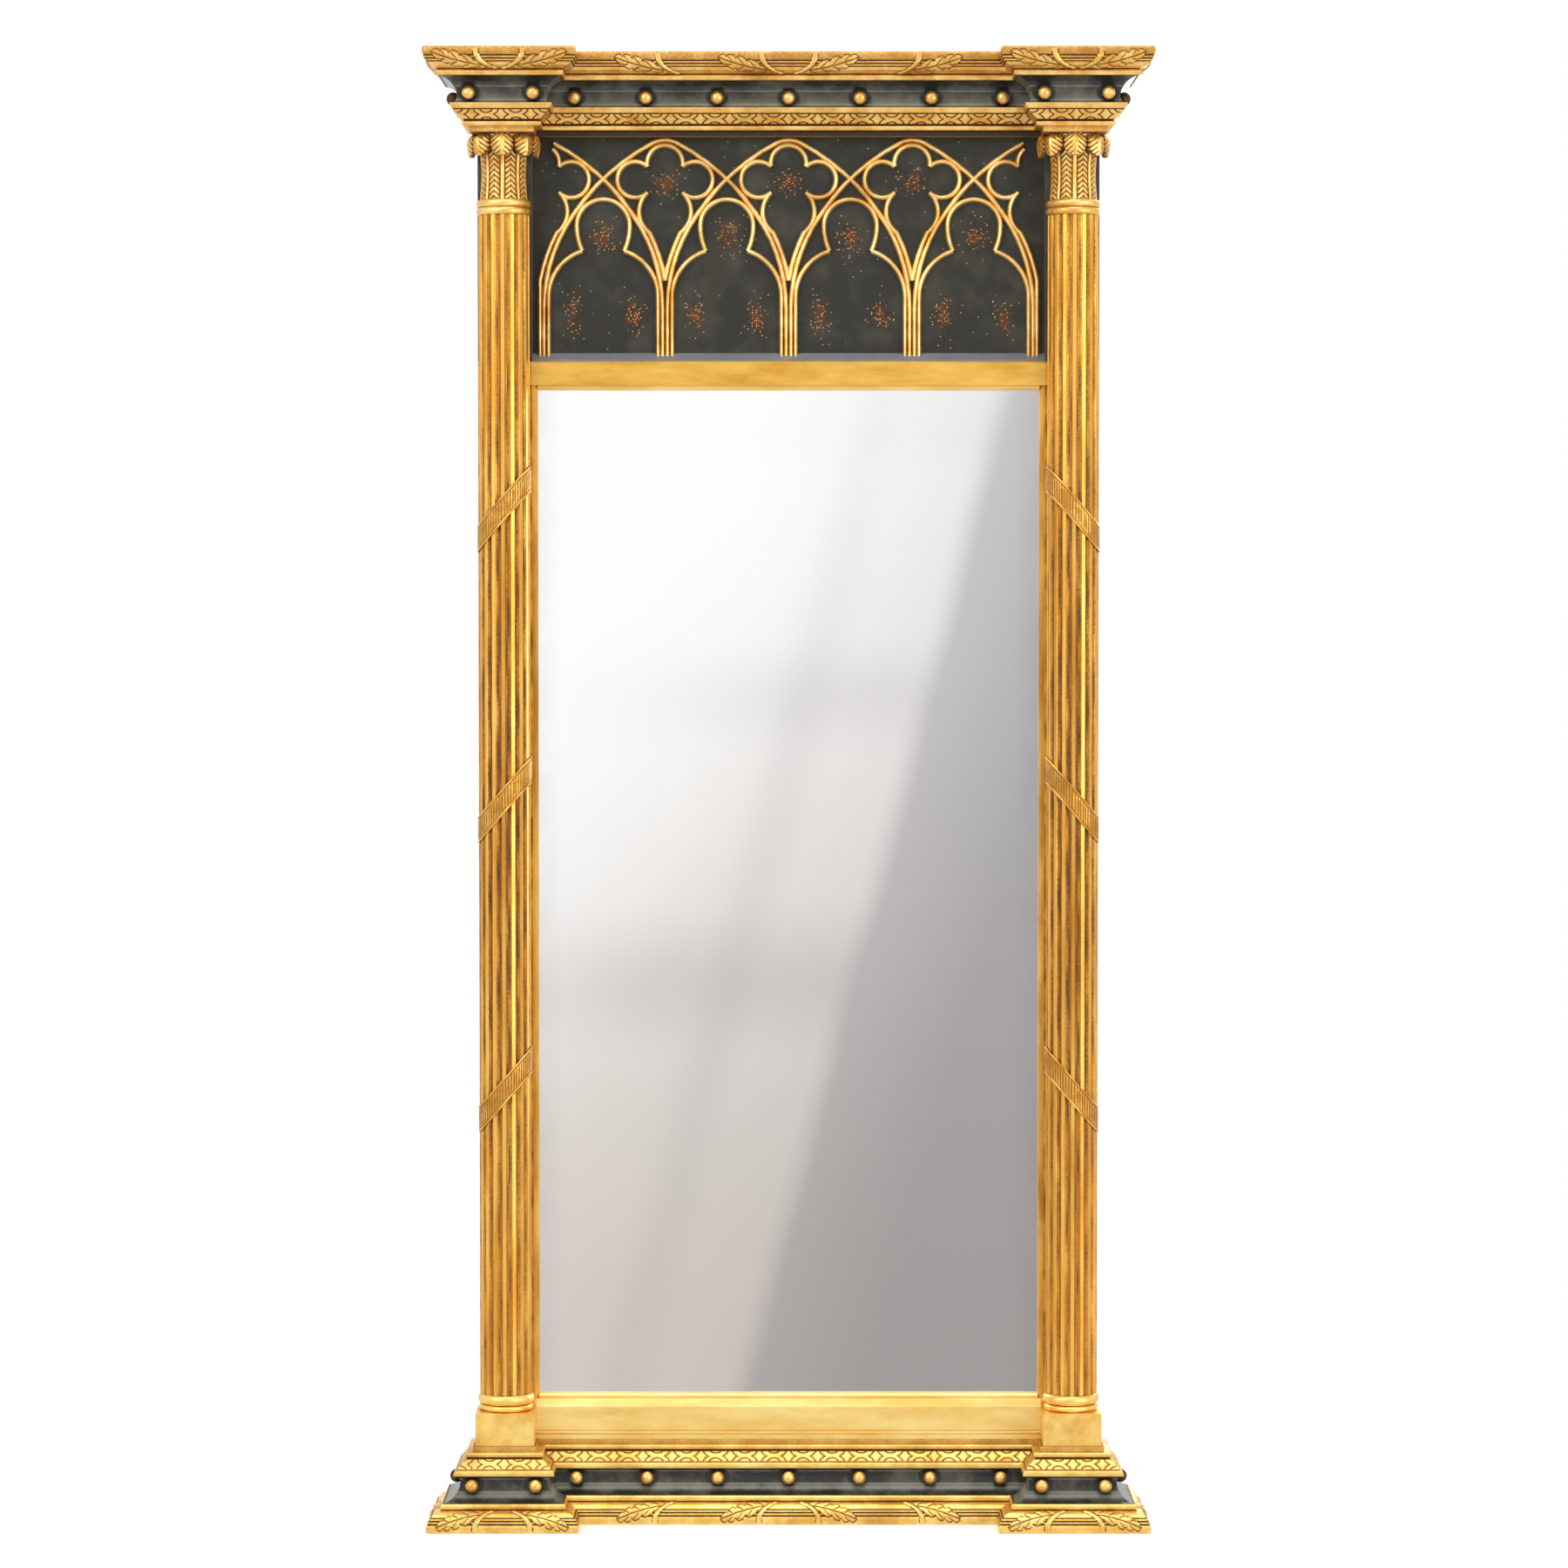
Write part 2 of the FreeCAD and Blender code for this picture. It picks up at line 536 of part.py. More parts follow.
def stile(hand, side):
    body = new_body(hand + "_stile")
    inside = on_side(side, STILE_INSIDE)
    outside = on_side(side, "%s + stile_width / 2" % COLUMN_X)
    pad(body, "plan", rectangle(inside, outside, "0", "frame_thickness"), BASE_TOP, CORNICE_FOOT)
    tenon = rectangle(on_side(side, "%s - stile_tenon_width / 2" % COLUMN_X),
                      on_side(side, "%s + stile_tenon_width / 2" % COLUMN_X),
                      "tenon_front - tenon_thickness", "tenon_front")
    pad(body, "plan", tenon, BASE_TOP + " - tenon_length", CORNICE_FOOT + " + tenon_length")
    ledge = rectangle(on_side(side, STILE_INSIDE + " - overrun"), on_side(side, STILE_INSIDE + " + rebate_width"),
                      "-overrun", "rebate_depth")
    pocket(body, "plan", ledge, GLASS_FOOT + " - rebate_width", GLASS_HEAD + " + rebate_width")
    pocket(body, "plan", ledge, MIDDLE_TOP + " - rebate_width", CORNICE_FOOT + " + overrun")
    for foot, head in ((BASE_TOP, GLASS_FOOT), (GLASS_HEAD, MIDDLE_TOP)):
        pocket(body, "section", rail_tenon(foot, head, "joint_gap"), on_side(side, STILE_INSIDE + " - overrun"),
               on_side(side, STILE_INSIDE + " + tenon_length + joint_gap"))
    recess = rectangle(on_side(side, COLUMN_X + " - pocket_width / 2"),
                       on_side(side, COLUMN_X + " + pocket_width / 2"),
                       HANGER_Z + " - pocket_below", HANGER_Z + " + pocket_above")
    pocket(body, "elevation", recess, "-overrun", "pocket_depth")
    for z in HANGER_SCREW_Z:
        drill(body, side, z, "hanger_screw_radius + joint_gap", "pocket_depth - overrun",
              HANGER_SCREW_END + " + joint_gap")


# Rails between the blocks and between the stiles.
def block_rail(label, foot, head):
    body = new_body(label)
    section = rectangle("0", "frame_thickness", foot, head)
    pad(body, "section", section, "-" + BLOCK_INSIDE, BLOCK_INSIDE)
    tenon = rectangle("tenon_front - tenon_thickness", "tenon_front",
                      "%s + tenon_length + joint_gap" % foot, "%s - tenon_length - joint_gap" % head)
    reach = "(%s + tenon_length)" % BLOCK_INSIDE
    pad(body, "section", tenon, "-" + reach, reach)


def stile_rail(label, foot, head, face, face_half):
    """A rail with tenons into the stiles and a moulded face ahead of the frame."""
    body = new_body(label)
    pad(body, "section", rectangle("0", "frame_thickness", foot, head), "-" + STILE_INSIDE, STILE_INSIDE)
    reach = "(%s + tenon_length)" % STILE_INSIDE
    pad(body, "section", rail_tenon(foot, head, "0"), "-" + reach, reach)
    pad(body, "section", face, "-" + face_half, face_half)
    return body


def bottom_rail():
    step_top = BASE_TOP + " + bottom_rail_step"
    bead_top = step_top + " + bottom_rail_bead"
    step_front = "(frame_thickness + bottom_rail_front) / 2"
    face = [("frame_thickness", BASE_TOP), (step_front, BASE_TOP), (step_front, step_top),
            (step_front, bead_top, "bottom_rail_bead_radius", 1), ("bottom_rail_front", bead_top),
            ("bottom_rail_front", GLASS_FOOT + " - bottom_rail_bevel"), ("frame_thickness", GLASS_FOOT)]
    half = "(%s - plinth_width / 2 - joint_gap)" % COLUMN_X
    body = stile_rail("bottom_rail", BASE_TOP, GLASS_FOOT, face, half)
    rebate(body, GLASS_FOOT + " - rebate_width", GLASS_FOOT + " + overrun")


def middle_rail():
    face = [("frame_thickness", GLASS_HEAD), ("middle_rail_front", GLASS_HEAD),
            ("middle_rail_front", MIDDLE_TOP + " - middle_rail_ease"),
            ("middle_rail_front - middle_rail_ease", MIDDLE_TOP), ("frame_thickness", MIDDLE_TOP)]
    body = stile_rail("middle_rail", GLASS_HEAD, MIDDLE_TOP, face, "(%s + middle_rail_over)" % STILE_INSIDE)
    rebate(body, GLASS_HEAD + " - overrun", GLASS_HEAD + " + rebate_width")
    rebate(body, MIDDLE_TOP + " - rebate_width", MIDDLE_TOP + " + overrun")


def rebate(body, low, high):
    long = "(%s + overrun)" % STILE_INSIDE
    pocket(body, "section", rectangle("-overrun", "rebate_depth", low, high), "-" + long, long)


# The mirror plate, its slips in front and its backboard and fillets behind.
SIGHT_X = "(%s - slip_width)" % STILE_INSIDE
EDGE_X = "(%s + rebate_width - glass_edge)" % STILE_INSIDE
EDGE_LOW = "(%s - rebate_width + glass_edge)" % GLASS_FOOT
EDGE_HIGH = "(%s + rebate_width - glass_edge)" % GLASS_HEAD
GLASS_BACK = "(rebate_depth - glass_thickness)"
BOARD_BACK = "(%s - backboard_thickness)" % GLASS_BACK


def sight_slips():
    for hand, side in SIDES.items():
        body = new_body(hand + "_sight_slip")
        sight = on_side(side, SIGHT_X)
        wood = on_side(side, STILE_INSIDE)
        outline = [(sight, "rebate_depth"), (sight, "slip_front - slip_ease"),
                   (on_side(side, SIGHT_X + " + slip_ease"), "slip_front"), (wood, "slip_front"),
                   (wood, "rebate_depth")]
        pad(body, "plan", outline, GLASS_FOOT, GLASS_HEAD)
    for label, wood, sight, ease in (
            ("lower_sight_slip", GLASS_FOOT, GLASS_FOOT + " + slip_height", "-"),
            ("upper_sight_slip", GLASS_HEAD, GLASS_HEAD + " - slip_height", "+")):
        body = new_body(label)
        outline = [("rebate_depth", wood), ("slip_front", wood), ("slip_front", "%s %s slip_ease" % (sight, ease)),
                   ("slip_front - slip_ease", sight), ("rebate_depth", sight)]
        pad(body, "section", outline, "-" + SIGHT_X, SIGHT_X)


def glazing():
    across = ("-" + EDGE_X, EDGE_X)
    up = (EDGE_LOW, EDGE_HIGH)
    keep(box("mirror_glass", across, (GLASS_BACK, "rebate_depth"), up), "mirror_glass")
    keep(box("mirror_backboard", across, (BOARD_BACK, GLASS_BACK), up), "mirror_backboard")
    depth = ("0", BOARD_BACK)
    strips = []
    inner_x = "(%s - fillet_width)" % EDGE_X
    for side in SIDES.values():
        ends = [on_side(side, inner_x), on_side(side, EDGE_X)]
        strips.append(box("Fillet", tuple(ends), depth, up))
    for low, high in ((EDGE_LOW, EDGE_LOW + " + fillet_width"), (EDGE_HIGH + " - fillet_width", EDGE_HIGH)):
        strips.append(box("Fillet", ("-" + inner_x, inner_x), depth, (low, high)))
    group("backing_fillets", strips)


# The frieze: a panel in the rebate, glue blocks behind it, a sloped sill and planted tracery in front.
def frieze():
    panel_back = "(rebate_depth - panel_thickness)"
    low = "(%s - rebate_width + glass_edge)" % MIDDLE_TOP
    high = "(%s - joint_gap)" % CORNICE_FOOT
    keep(box("frieze_panel", ("-" + EDGE_X, EDGE_X), (panel_back, PANEL_FRONT), (low, high)), "frieze_panel")
    blocks = []
    for foot, head in ((low, low + " + fillet_width"), (high + " - fillet_width", high)):
        for step in range(int(value("glue_block_count"))):
            start = "((%d + 0.5) / glue_block_count * 2 - 1) * %s - glue_block_length / 2" % (step, STILE_INSIDE)
            across = (start, start + " + glue_block_length")
            blocks.append(box("GlueBlock", across, ("0", panel_back), (foot, head)))
    group("frieze_glue_blocks", blocks)
    sill = new_body("frieze_sill")
    slope = [(PANEL_FRONT, MIDDLE_TOP), ("frame_thickness", MIDDLE_TOP),
             ("frame_thickness", MIDDLE_TOP + " + sill_front_height"),
             (PANEL_FRONT, MIDDLE_TOP + " + sill_back_height")]
    pad(sill, "section", slope, "-(%s - joint_gap)" % STILE_INSIDE, "%s - joint_gap" % STILE_INSIDE)


# Tracery: ribs of one moulded section carried along straight lines and arcs in the plane of the panel.
# Points here are (x, z) in millimetres, measured from the foot of the frieze.
def rib_corners(point, across):
    """Corners of a rib cut square to its run: two on the panel and a sharp crest between them."""
    half, depth, panel = value("rib_width / 2"), value("rib_depth"), value(PANEL_FRONT)
    return [FreeCAD.Vector(point[0] + across[0] * side, -panel - out, point[1] + across[1] * side)
            for side, out in [(-half, 0), (half, 0), (0, depth)]]


def rib_line(first, last):
    run = FreeCAD.Vector(last[0] - first[0], 0, last[1] - first[1]).normalize()
    return faceted([rib_corners(point, (run.z, -run.x)) for point in (first, last)])


def rib_arc(centre, radius, start, end):
    """Rib in short straight runs along an arc about a centre, between two angles in degrees from +x."""
    widest = math.degrees(2 * math.acos(1 - value("rib_sag") / radius))
    count = math.ceil(abs(end - start) / widest)
    sections = []
    for step in range(count + 1):
        angle = math.radians(start + (end - start) * step / count)
        out = (math.cos(angle), math.sin(angle))
        sections.append(rib_corners((centre[0] + radius * out[0], centre[1] + radius * out[1]), out))
    return faceted(sections)


def angle_of(centre, point):
    return math.degrees(math.atan2(point[1] - centre[1], point[0] - centre[0]))


def rib_bow(first, last, radius, turn):
    """Rib along the short arc between two points, with its centre to the left (1) or right (-1) of the run."""
    run = (last[0] - first[0], last[1] - first[1])
    length = math.hypot(*run)
    lift = turn * math.sqrt(radius ** 2 - (length / 2) ** 2) / length
    centre = ((first[0] + last[0]) / 2 - run[1] * lift, (first[1] + last[1]) / 2 + run[0] * lift)
    start, end = angle_of(centre, first), angle_of(centre, last)
    return rib_arc(centre, radius, start, start + math.remainder(end - start, math.degrees(2 * math.pi)))


def mirrored(shapes, axis_x):
    return [shape.mirror(FreeCAD.Vector(axis_x, 0, 0), FreeCAD.Vector(1, 0, 0)) for shape in shapes]


def shifted(shapes, x):
    return [shape.translated(FreeCAD.Vector(x, 0, 0)) for shape in shapes]


def joined(shapes):
    return shapes[0].multiFuse(shapes[1:]).removeSplitter()


def arch_ribs(with_apex):
    """One arch rib from a mullion at x = 0 up to the apex over the next mullion."""
    steep, flat = math.radians(value("arch_haunch_angle")), math.radians(value("arch_crown_angle"))
    start_x, pitch = value("arch_rib_offset"), value("bay_pitch")
    haunch, apex = value("arch_haunch_radius"), value("arch_apex_radius")
    width_left = pitch - start_x - haunch * (1 - math.sin(steep)) - apex * math.sin(flat)
    flank = width_left / (math.sin(steep) - math.sin(flat))
    rise = (haunch * math.cos(steep) + flank * (math.cos(flat) - math.cos(steep)) + apex * (1 - math.cos(flat)))
    spring = value("frieze_height - arch_head_gap") - rise
    centre = (start_x + haunch, spring)
    ribs = [rib_line((start_x, 0), (start_x, spring)),
            rib_arc(centre, haunch, 180, 90 + math.degrees(steep))]
    centre = (centre[0] + (flank - haunch) * math.sin(steep), centre[1] - (flank - haunch) * math.cos(steep))
    ribs.append(rib_arc(centre, flank, 90 + math.degrees(steep), 90 + math.degrees(flat)))
    if with_apex:
        centre = (centre[0] - (flank - apex) * math.sin(flat), centre[1] + (flank - apex) * math.cos(flat))
        ribs.append(rib_arc(centre, apex, 90 + math.degrees(flat), 90))
    return ribs


def lancet_ribs():
    """A cusped lancet about x = 0: straight jambs, lower foils to the cusps, a stilted round head."""
    jamb = value("bay_pitch / 2 - lancet_rib_offset")
    spring, cusp = value("lancet_spring"), (value("lancet_cusp_offset"), value("lancet_cusp_height"))
    radius, head = value("lancet_head_radius"), value("lancet_head_height")
    across, up = jamb - cusp[0], cusp[1] - spring
    foil = (across ** 2 + up ** 2) / (2 * across)
    foil_centre = (jamb - foil, spring)
    across, up = radius - cusp[0], head - cusp[1]
    stilt = (across ** 2 + up ** 2) / (2 * across)
    stilt_centre = (radius - stilt, head)
    half = [rib_line((jamb, 0), (jamb, spring)),
            rib_arc(foil_centre, foil, 0, angle_of(foil_centre, cusp)),
            rib_arc(stilt_centre, stilt, angle_of(stilt_centre, cusp), 0),
            rib_arc((0, head), radius, 0, 90)]
    return half + mirrored(half, 0)


def foil_ribs(whole):
    """A quatrefoil about x = 0 with a drop below it; at the ends of the frieze only its right-hand part."""
    centre, radius = value(FOIL_HEIGHT), value("foil_radius")
    top = (0, centre + value("foil_top_offset"))
    side = (value("foil_side_offset"), centre)
    gap = (side[0] - top[0], side[1] - top[1])
    length = math.hypot(*gap)
    reach = math.sqrt(radius ** 2 - (length / 2) ** 2) / length
    cusp = ((top[0] + side[0]) / 2 - gap[1] * reach, (top[1] + side[1]) / 2 + gap[0] * reach)
    low_cusp = (cusp[0], 2 * centre - cusp[1])
    waist = (value("drop_waist_width"), centre - value("drop_waist"))
    tip = (0 if whole else -value("end_rib_offset"), centre - value("drop_tip"))
    top_end = 90 if whole else math.degrees(math.acos(value("end_foil_cut") / radius))
    half = [rib_arc(top, radius, angle_of(top, cusp), top_end),
            rib_arc(side, radius, angle_of(side, low_cusp), angle_of(side, cusp)),
            rib_bow(low_cusp, waist, value("drop_radius"), -1),
            rib_bow(waist, tip, value("arch_haunch_radius + drop_arch_gap"), 1)]
    return half + mirrored(half, 0) if whole else half


def tracery():
    pitch = value("bay_pitch")
    inner, outer = arch_ribs(True), arch_ribs(False)
    arches = []
    for mullion in range(-2, 2):
        ribs = shifted(outer if mullion == 1 else inner, mullion * pitch)
        arches += ribs + mirrored(ribs, 0)
    solids = [joined(arches)]
    lancet, foil, end_foil = joined(lancet_ribs()), joined(foil_ribs(True)), joined(foil_ribs(False))
    solids += [shape for bay in range(-2, 2) for shape in shifted([lancet], (bay + 1 / 2) * pitch)]
    solids += [shape for mullion in range(-1, 2) for shape in shifted([foil], mullion * pitch)]
    edge_x = 2 * pitch + value("end_rib_offset")
    edge_rib = rib_line((-edge_x, 0), (-edge_x, value(FOIL_HEIGHT + " - drop_tip")))
    ends = shifted([end_foil], -2 * pitch) + [edge_rib]
    solids += ends + mirrored(ends, 0)
    half = value(STILE_INSIDE)
    back, front = -value(PANEL_FRONT), -value("frame_thickness + overrun")
    low, high = value("sill_front_height"), value("sill_back_height")
    slope = (high - low) / value("frame_thickness - rebate_depth")
    under = -value("overrun")
    corners = [(back, under), (front, under), (front, high + slope * (front - back)), (back, high)]
    wedge = [FreeCAD.Vector(-half, y, z) for y, z in corners]
    sill = Part.Face(Part.makePolygon(wedge + wedge[:1])).extrude(FreeCAD.Vector(2 * half, 0, 0))
    shape = Part.makeCompound([solid.cut(sill) for solid in solids])
    piece = keep(doc.addObject("Part::Feature", "frieze_tracery"), "frieze_tracery")
    piece.Shape = shape
    place(piece, "0", "0", MIDDLE_TOP)


# Columns, from the plinth up. Each piece is turned, then planed flat against the stile.
def plinth(hand, side):
    body = new_body(hand + "_plinth", on_side(side, COLUMN_X), "frame_thickness", BASE_TOP)
    half = "plinth_width / 2"
    edge = "plinth_chamfer"
    outline = [("-" + half, "0"), (half, "0"), (half, "plinth_projection - " + edge),
               ("%s - %s" % (half, edge), "plinth_projection"), ("-%s + %s" % (half, edge), "plinth_projection"),
               ("-" + half, "plinth_projection - " + edge)]
    pad(body, "plan", outline, "0", "plinth_height")


def column_base(side):
    foot = "%s + plinth_height" % BASE_TOP
    body = new_body("Turned", on_side(side, COLUMN_X), COLUMN_FRONT, foot, alone=False)
    wide, swell, height = "column_base_radius", "column_base_swell", "column_base_height"
    shoulder = wide + " - column_base_ease"
    revolve(body, [("0", "0"), (shoulder, "0"), (wide, "column_base_ease"), (wide, swell + " - column_base_ease"),
                   (shoulder, swell), ("column_radius", swell), ("column_radius", height), ("0", height)])
    flat_back(body, wide, height)
    return body


def shaft(hand, side):
    body = new_body(hand + "_column_shaft", on_side(side, COLUMN_X), COLUMN_FRONT, SHAFT_FOOT)
    length = "(%s - %s)" % (SHAFT_HEAD, SHAFT_FOOT)
    half_flat = "sqrt(column_radius^2 - column_stand^2)"
    section = [("-" + half_flat, "-column_stand", "column_radius", 1), (half_flat, "-column_stand"),
               ("0", "column_radius", "column_radius", 1)]
    pad(body, "plan", section, "0", length)
    first = "((flute_count - 1) / 2 * flute_angle * 1 deg)"
    sketch = new_sketch(body, "section", "-(column_radius + flute_out) * sin(%s)" % first)
    sketch.setExpression("AttachmentOffset.Base.x", bound("-(column_radius + flute_out) * cos(%s)" % first))
    draw(sketch, "section", [
        ("0", "flute_stop"), ("0", "%s - flute_stop" % length),
        ("-flute_radius", "%s - flute_stop" % length), ("-flute_radius", "flute_stop")])
    doc.recompute()
    groove = body.newObject("PartDesign::Groove", "Flute")
    groove.Profile = sketch
    groove.ReferenceAxis = (sketch, ["V_Axis"])
    groove.Angle = 360
    doc.recompute()
    flutes = body.newObject("PartDesign::PolarPattern", "Flutes")
    flutes.Originals = [groove]
    origin = {feature.Role: feature for feature in body.Origin.OriginFeatures}
    flutes.Axis = (origin["Z_Axis"], [""])
    flutes.setExpression("Angle", bound("(flute_count - 1) * flute_angle"))
    flutes.setExpression("Occurrences", bound("flute_count"))
    body.Tip = flutes


def ribbons(hand, side):
    """Three slanting bands stretched flat over the fillets: a tube with flat sides cut by leaning slabs."""
    x, foot = on_side(side, COLUMN_X), SHAFT_FOOT
    radius = "column_radius + ribbon_thickness"
    tubes = []
    for flat in (radius, "column_radius"):
        tube = doc.addObject("Part::Prism", "Tube")
        tube.setExpression("Polygon", bound("360 / flute_angle"))
        tube.setExpression("Circumradius", bound("(%s) / cos(flute_angle / 2 * 1 deg)" % flat))
        tube.setExpression("Height", bound("%s - %s" % (SHAFT_HEAD, foot)))
        place(tube, x, COLUMN_FRONT, foot)
        tubes.append(tube)
    sleeve = doc.addObject("Part::Cut", "Sleeve")
    sleeve.Base, sleeve.Tool = tubes
    slabs = doc.addObject("PartDesign::Body", "Slabs")
    place(slabs, x, COLUMN_FRONT, foot)
    sketch = new_sketch(slabs, "elevation", "(%s + overrun - column_stand) / 2" % radius)
    reach = "(%s) / cos(flute_angle / 2 * 1 deg)" % radius
    for step in RIBBONS:
        middle = "(ribbon_first - %d * ribbon_step)" % step
        lean = "%d * ribbon_rise / 2" % -side
        draw(sketch, "elevation", [("-" + reach, "%s - %s - ribbon_height / 2" % (middle, lean)),
                                   (reach, "%s + %s - ribbon_height / 2" % (middle, lean)),
                                   (reach, "%s + %s + ribbon_height / 2" % (middle, lean)),
                                   ("-" + reach, "%s - %s + ribbon_height / 2" % (middle, lean))])
    slab = slabs.newObject("PartDesign::Pad", "Slab")
    slab.Profile = sketch
    slab.SideType = "Symmetric"
    slab.setExpression("Length", bound("%s + overrun + column_stand" % radius))
    bands = keep(doc.addObject("Part::Common", hand + "_ribbons"), hand + "_ribbons")
    bands.Base = sleeve
    bands.Tool = slabs


def necking(side):
    body = new_body("Necking", on_side(side, COLUMN_X), COLUMN_FRONT, SHAFT_HEAD, alone=False)
    groove, ease = "necking_groove_radius", "necking_ease"
    outline = [("0", "0"), (groove, "0")]
    for low, high in (("0", "necking_height / 2"), ("necking_height / 2", "necking_height")):
        outline += [("necking_radius", "%s + %s" % (low, ease)), ("necking_radius", "%s - %s" % (high, ease)),
                    (groove, high)]
    revolve(body, outline + [("0", "necking_height")])
    flat_back(body, "necking_radius", "necking_height")
    return body


# Capital: a hollow-sided bell and five leaves that rise from it, curl over outwards and hang down.
LEAF_STEPS = 6
BELL_STEPS = 3
BELL_SIDES = 16


def leaf():
    """A ridged leaf: a straight stem, a crook and a hanging tip.
    Its sections are kites set square to the midrib."""
    root, thick = value("bell_foot_radius - leaf_thickness / 2"), value("leaf_thickness / 2")
    crook = (value("leaf_reach") - thick - root) / 2
    bend = value("capital_height - leaf_head_gap") - thick - crook
    turns = [math.pi * step / LEAF_STEPS for step in range(LEAF_STEPS + 1)]
    midrib = [(root + crook * (1 - math.cos(turn)), bend + crook * math.sin(turn), turn) for turn in turns]
    midrib.insert(0, (root, value("leaf_root_height"), 0))
    midrib.append((root + 2 * crook, bend - value("leaf_drop"), math.pi))
    ends = value("leaf_end_share")
    kites = []
    for number, (out, up, turn) in enumerate(midrib):
        along = number / (len(midrib) - 1)
        middle = FreeCAD.Vector(0, -out, up)
        side = FreeCAD.Vector(value("leaf_width / 2") * (ends + (1 - ends) * math.sin(math.pi * along)), 0, 0)
        ridge = FreeCAD.Vector(0, math.cos(turn), math.sin(turn)) * thick * (1 - along * (1 - ends))
        kites.append([middle - side, middle + ridge, middle + side, middle - ridge])
    return faceted(kites)


def capital(hand, side):
    foot, head = value("bell_foot_radius"), value("bell_head_radius")
    height, hollow = value("capital_height"), value("bell_hollow")
    axis_foot, upright = FreeCAD.Vector(0, 0, 0), FreeCAD.Vector(0, 0, 1)
    turns = [2 * math.pi * number / BELL_SIDES for number in range(BELL_SIDES)]
    rings = []
    for step in range(BELL_STEPS + 1):
        up = step / BELL_STEPS
        radius = foot + (head - foot) * up - hollow * math.sin(math.pi * up)
        rings.append([FreeCAD.Vector(radius * math.cos(turn), radius * math.sin(turn), height * up)
                      for turn in turns])
    bell = faceted(rings)
    count, step = int(value("leaf_count")), value("leaf_angle")
    angles = [(number - (count - 1) / 2) * step for number in range(count)]
    leaves = [leaf().rotate(axis_foot, upright, angle) for angle in angles]
    wide = value("leaf_reach + overrun")
    stand = value("column_stand")
    stile_side = Part.makeBox(2 * wide, wide, height + 2 * wide, FreeCAD.Vector(-wide, stand, -wide))
    piece = keep(doc.addObject("Part::Feature", hand + "_capital"), hand + "_capital")
    piece.Shape = bell.multiFuse(leaves).cut(stile_side).removeSplitter()
    place(piece, on_side(side, COLUMN_X), COLUMN_FRONT, CAPITAL_FOOT)


# Fixings behind: round-headed screws, strap hangers with swinging rings.
SCREW_SIDES = 8


def screw(x, front, z, radius, head_radius, head_height, length):
    """A round-headed screw whose head starts at a front distance and whose shank runs forward from it."""
    parts = []
    for wide, start, long in ((head_radius, front, head_height),
                              (radius, "%s + %s" % (front, head_height), "%s - %s" % (length, head_height))):
        rod = doc.addObject("Part::Prism", "Rod")
        rod.Polygon = SCREW_SIDES
        rod.Placement = FreeCAD.Placement(FreeCAD.Vector(), FreeCAD.Rotation(FreeCAD.Vector(1, 0, 0), 90))
        rod.setExpression("Circumradius", bound(wide))
        rod.setExpression("Height", bound(long))
        place(rod, x, start, z)
        parts.append(rod)
    whole = doc.addObject("Part::Fuse", "Screw")
    whole.Base, whole.Tool = parts
    return whole


def screws():
    hung = []
    for side in SIDES.values():
        x = on_side(side, COLUMN_X)
        for z in HANGER_SCREW_Z:
            hung.append(screw(x, "pocket_depth - strap_thickness - hanger_screw_rise", z, "hanger_screw_radius",
                              "hanger_screw_head", "hanger_screw_rise", "hanger_screw_length + hanger_screw_rise"))
    group("hanger_screws", hung)


def strap(side):
    body = new_body("Strap", on_side(side, COLUMN_X), "pocket_depth - eye_lift", HANGER_Z, alone=False)
    half = "strap_width / 2"
    bore = "(ring_wire_radius + eye_clearance)"
    plate = rectangle("eye_lift - strap_thickness", "eye_lift", "-strap_length", "0")
    pad(body, "section", plate, "-" + half, half)
    pad(body, "section", None, "-" + half, half, circle=(("0", "0"), bore + " + strap_thickness"))
    pocket(body, "section", None, "-%s - overrun" % half, half + " + overrun", circle=(("0", "0"), bore))
    for z in HANGER_SCREW_Z:
        pocket(body, "elevation", None, "eye_lift - strap_thickness - overrun", "eye_lift + overrun",
               circle=(("0", "%s - %s" % (z, HANGER_Z)), "hanger_screw_radius + joint_gap"))
    return body


def ring(hand, side):
    """A bent wire loop with mitred corners that turns on its straight bar in the eye of the strap."""
    body = new_body(hand + "_hanger_ring", on_side(side, COLUMN_X), "pocket_depth - eye_lift", HANGER_Z)
    wide, corner, end = "ring_half_width", "ring_corner", "ring_end"
    half = [("%s - %s" % (wide, corner), "0"), (wide, "-" + corner), (wide, "-(ring_length - %s)" % end),
            ("%s - %s" % (wide, end), "-ring_length")]
    route = [("0", "0")] + half + [("-(%s)" % x, z) for x, z in reversed(half)]
    path = new_sketch(body, "elevation")
    draw(path, "elevation", route)
    wire = new_sketch(body, "section")
    draw_circle(wire, "section", ("0", "0"), "ring_wire_radius")
    doc.recompute()
    sweep = body.newObject("PartDesign::AdditivePipe", "Bent")
    sweep.Profile = (wire, [""])
    sweep.Spine = (path, ["Edge%d" % number for number in range(1, len(route) + 1)])
    sweep.Transition = "Right corner"


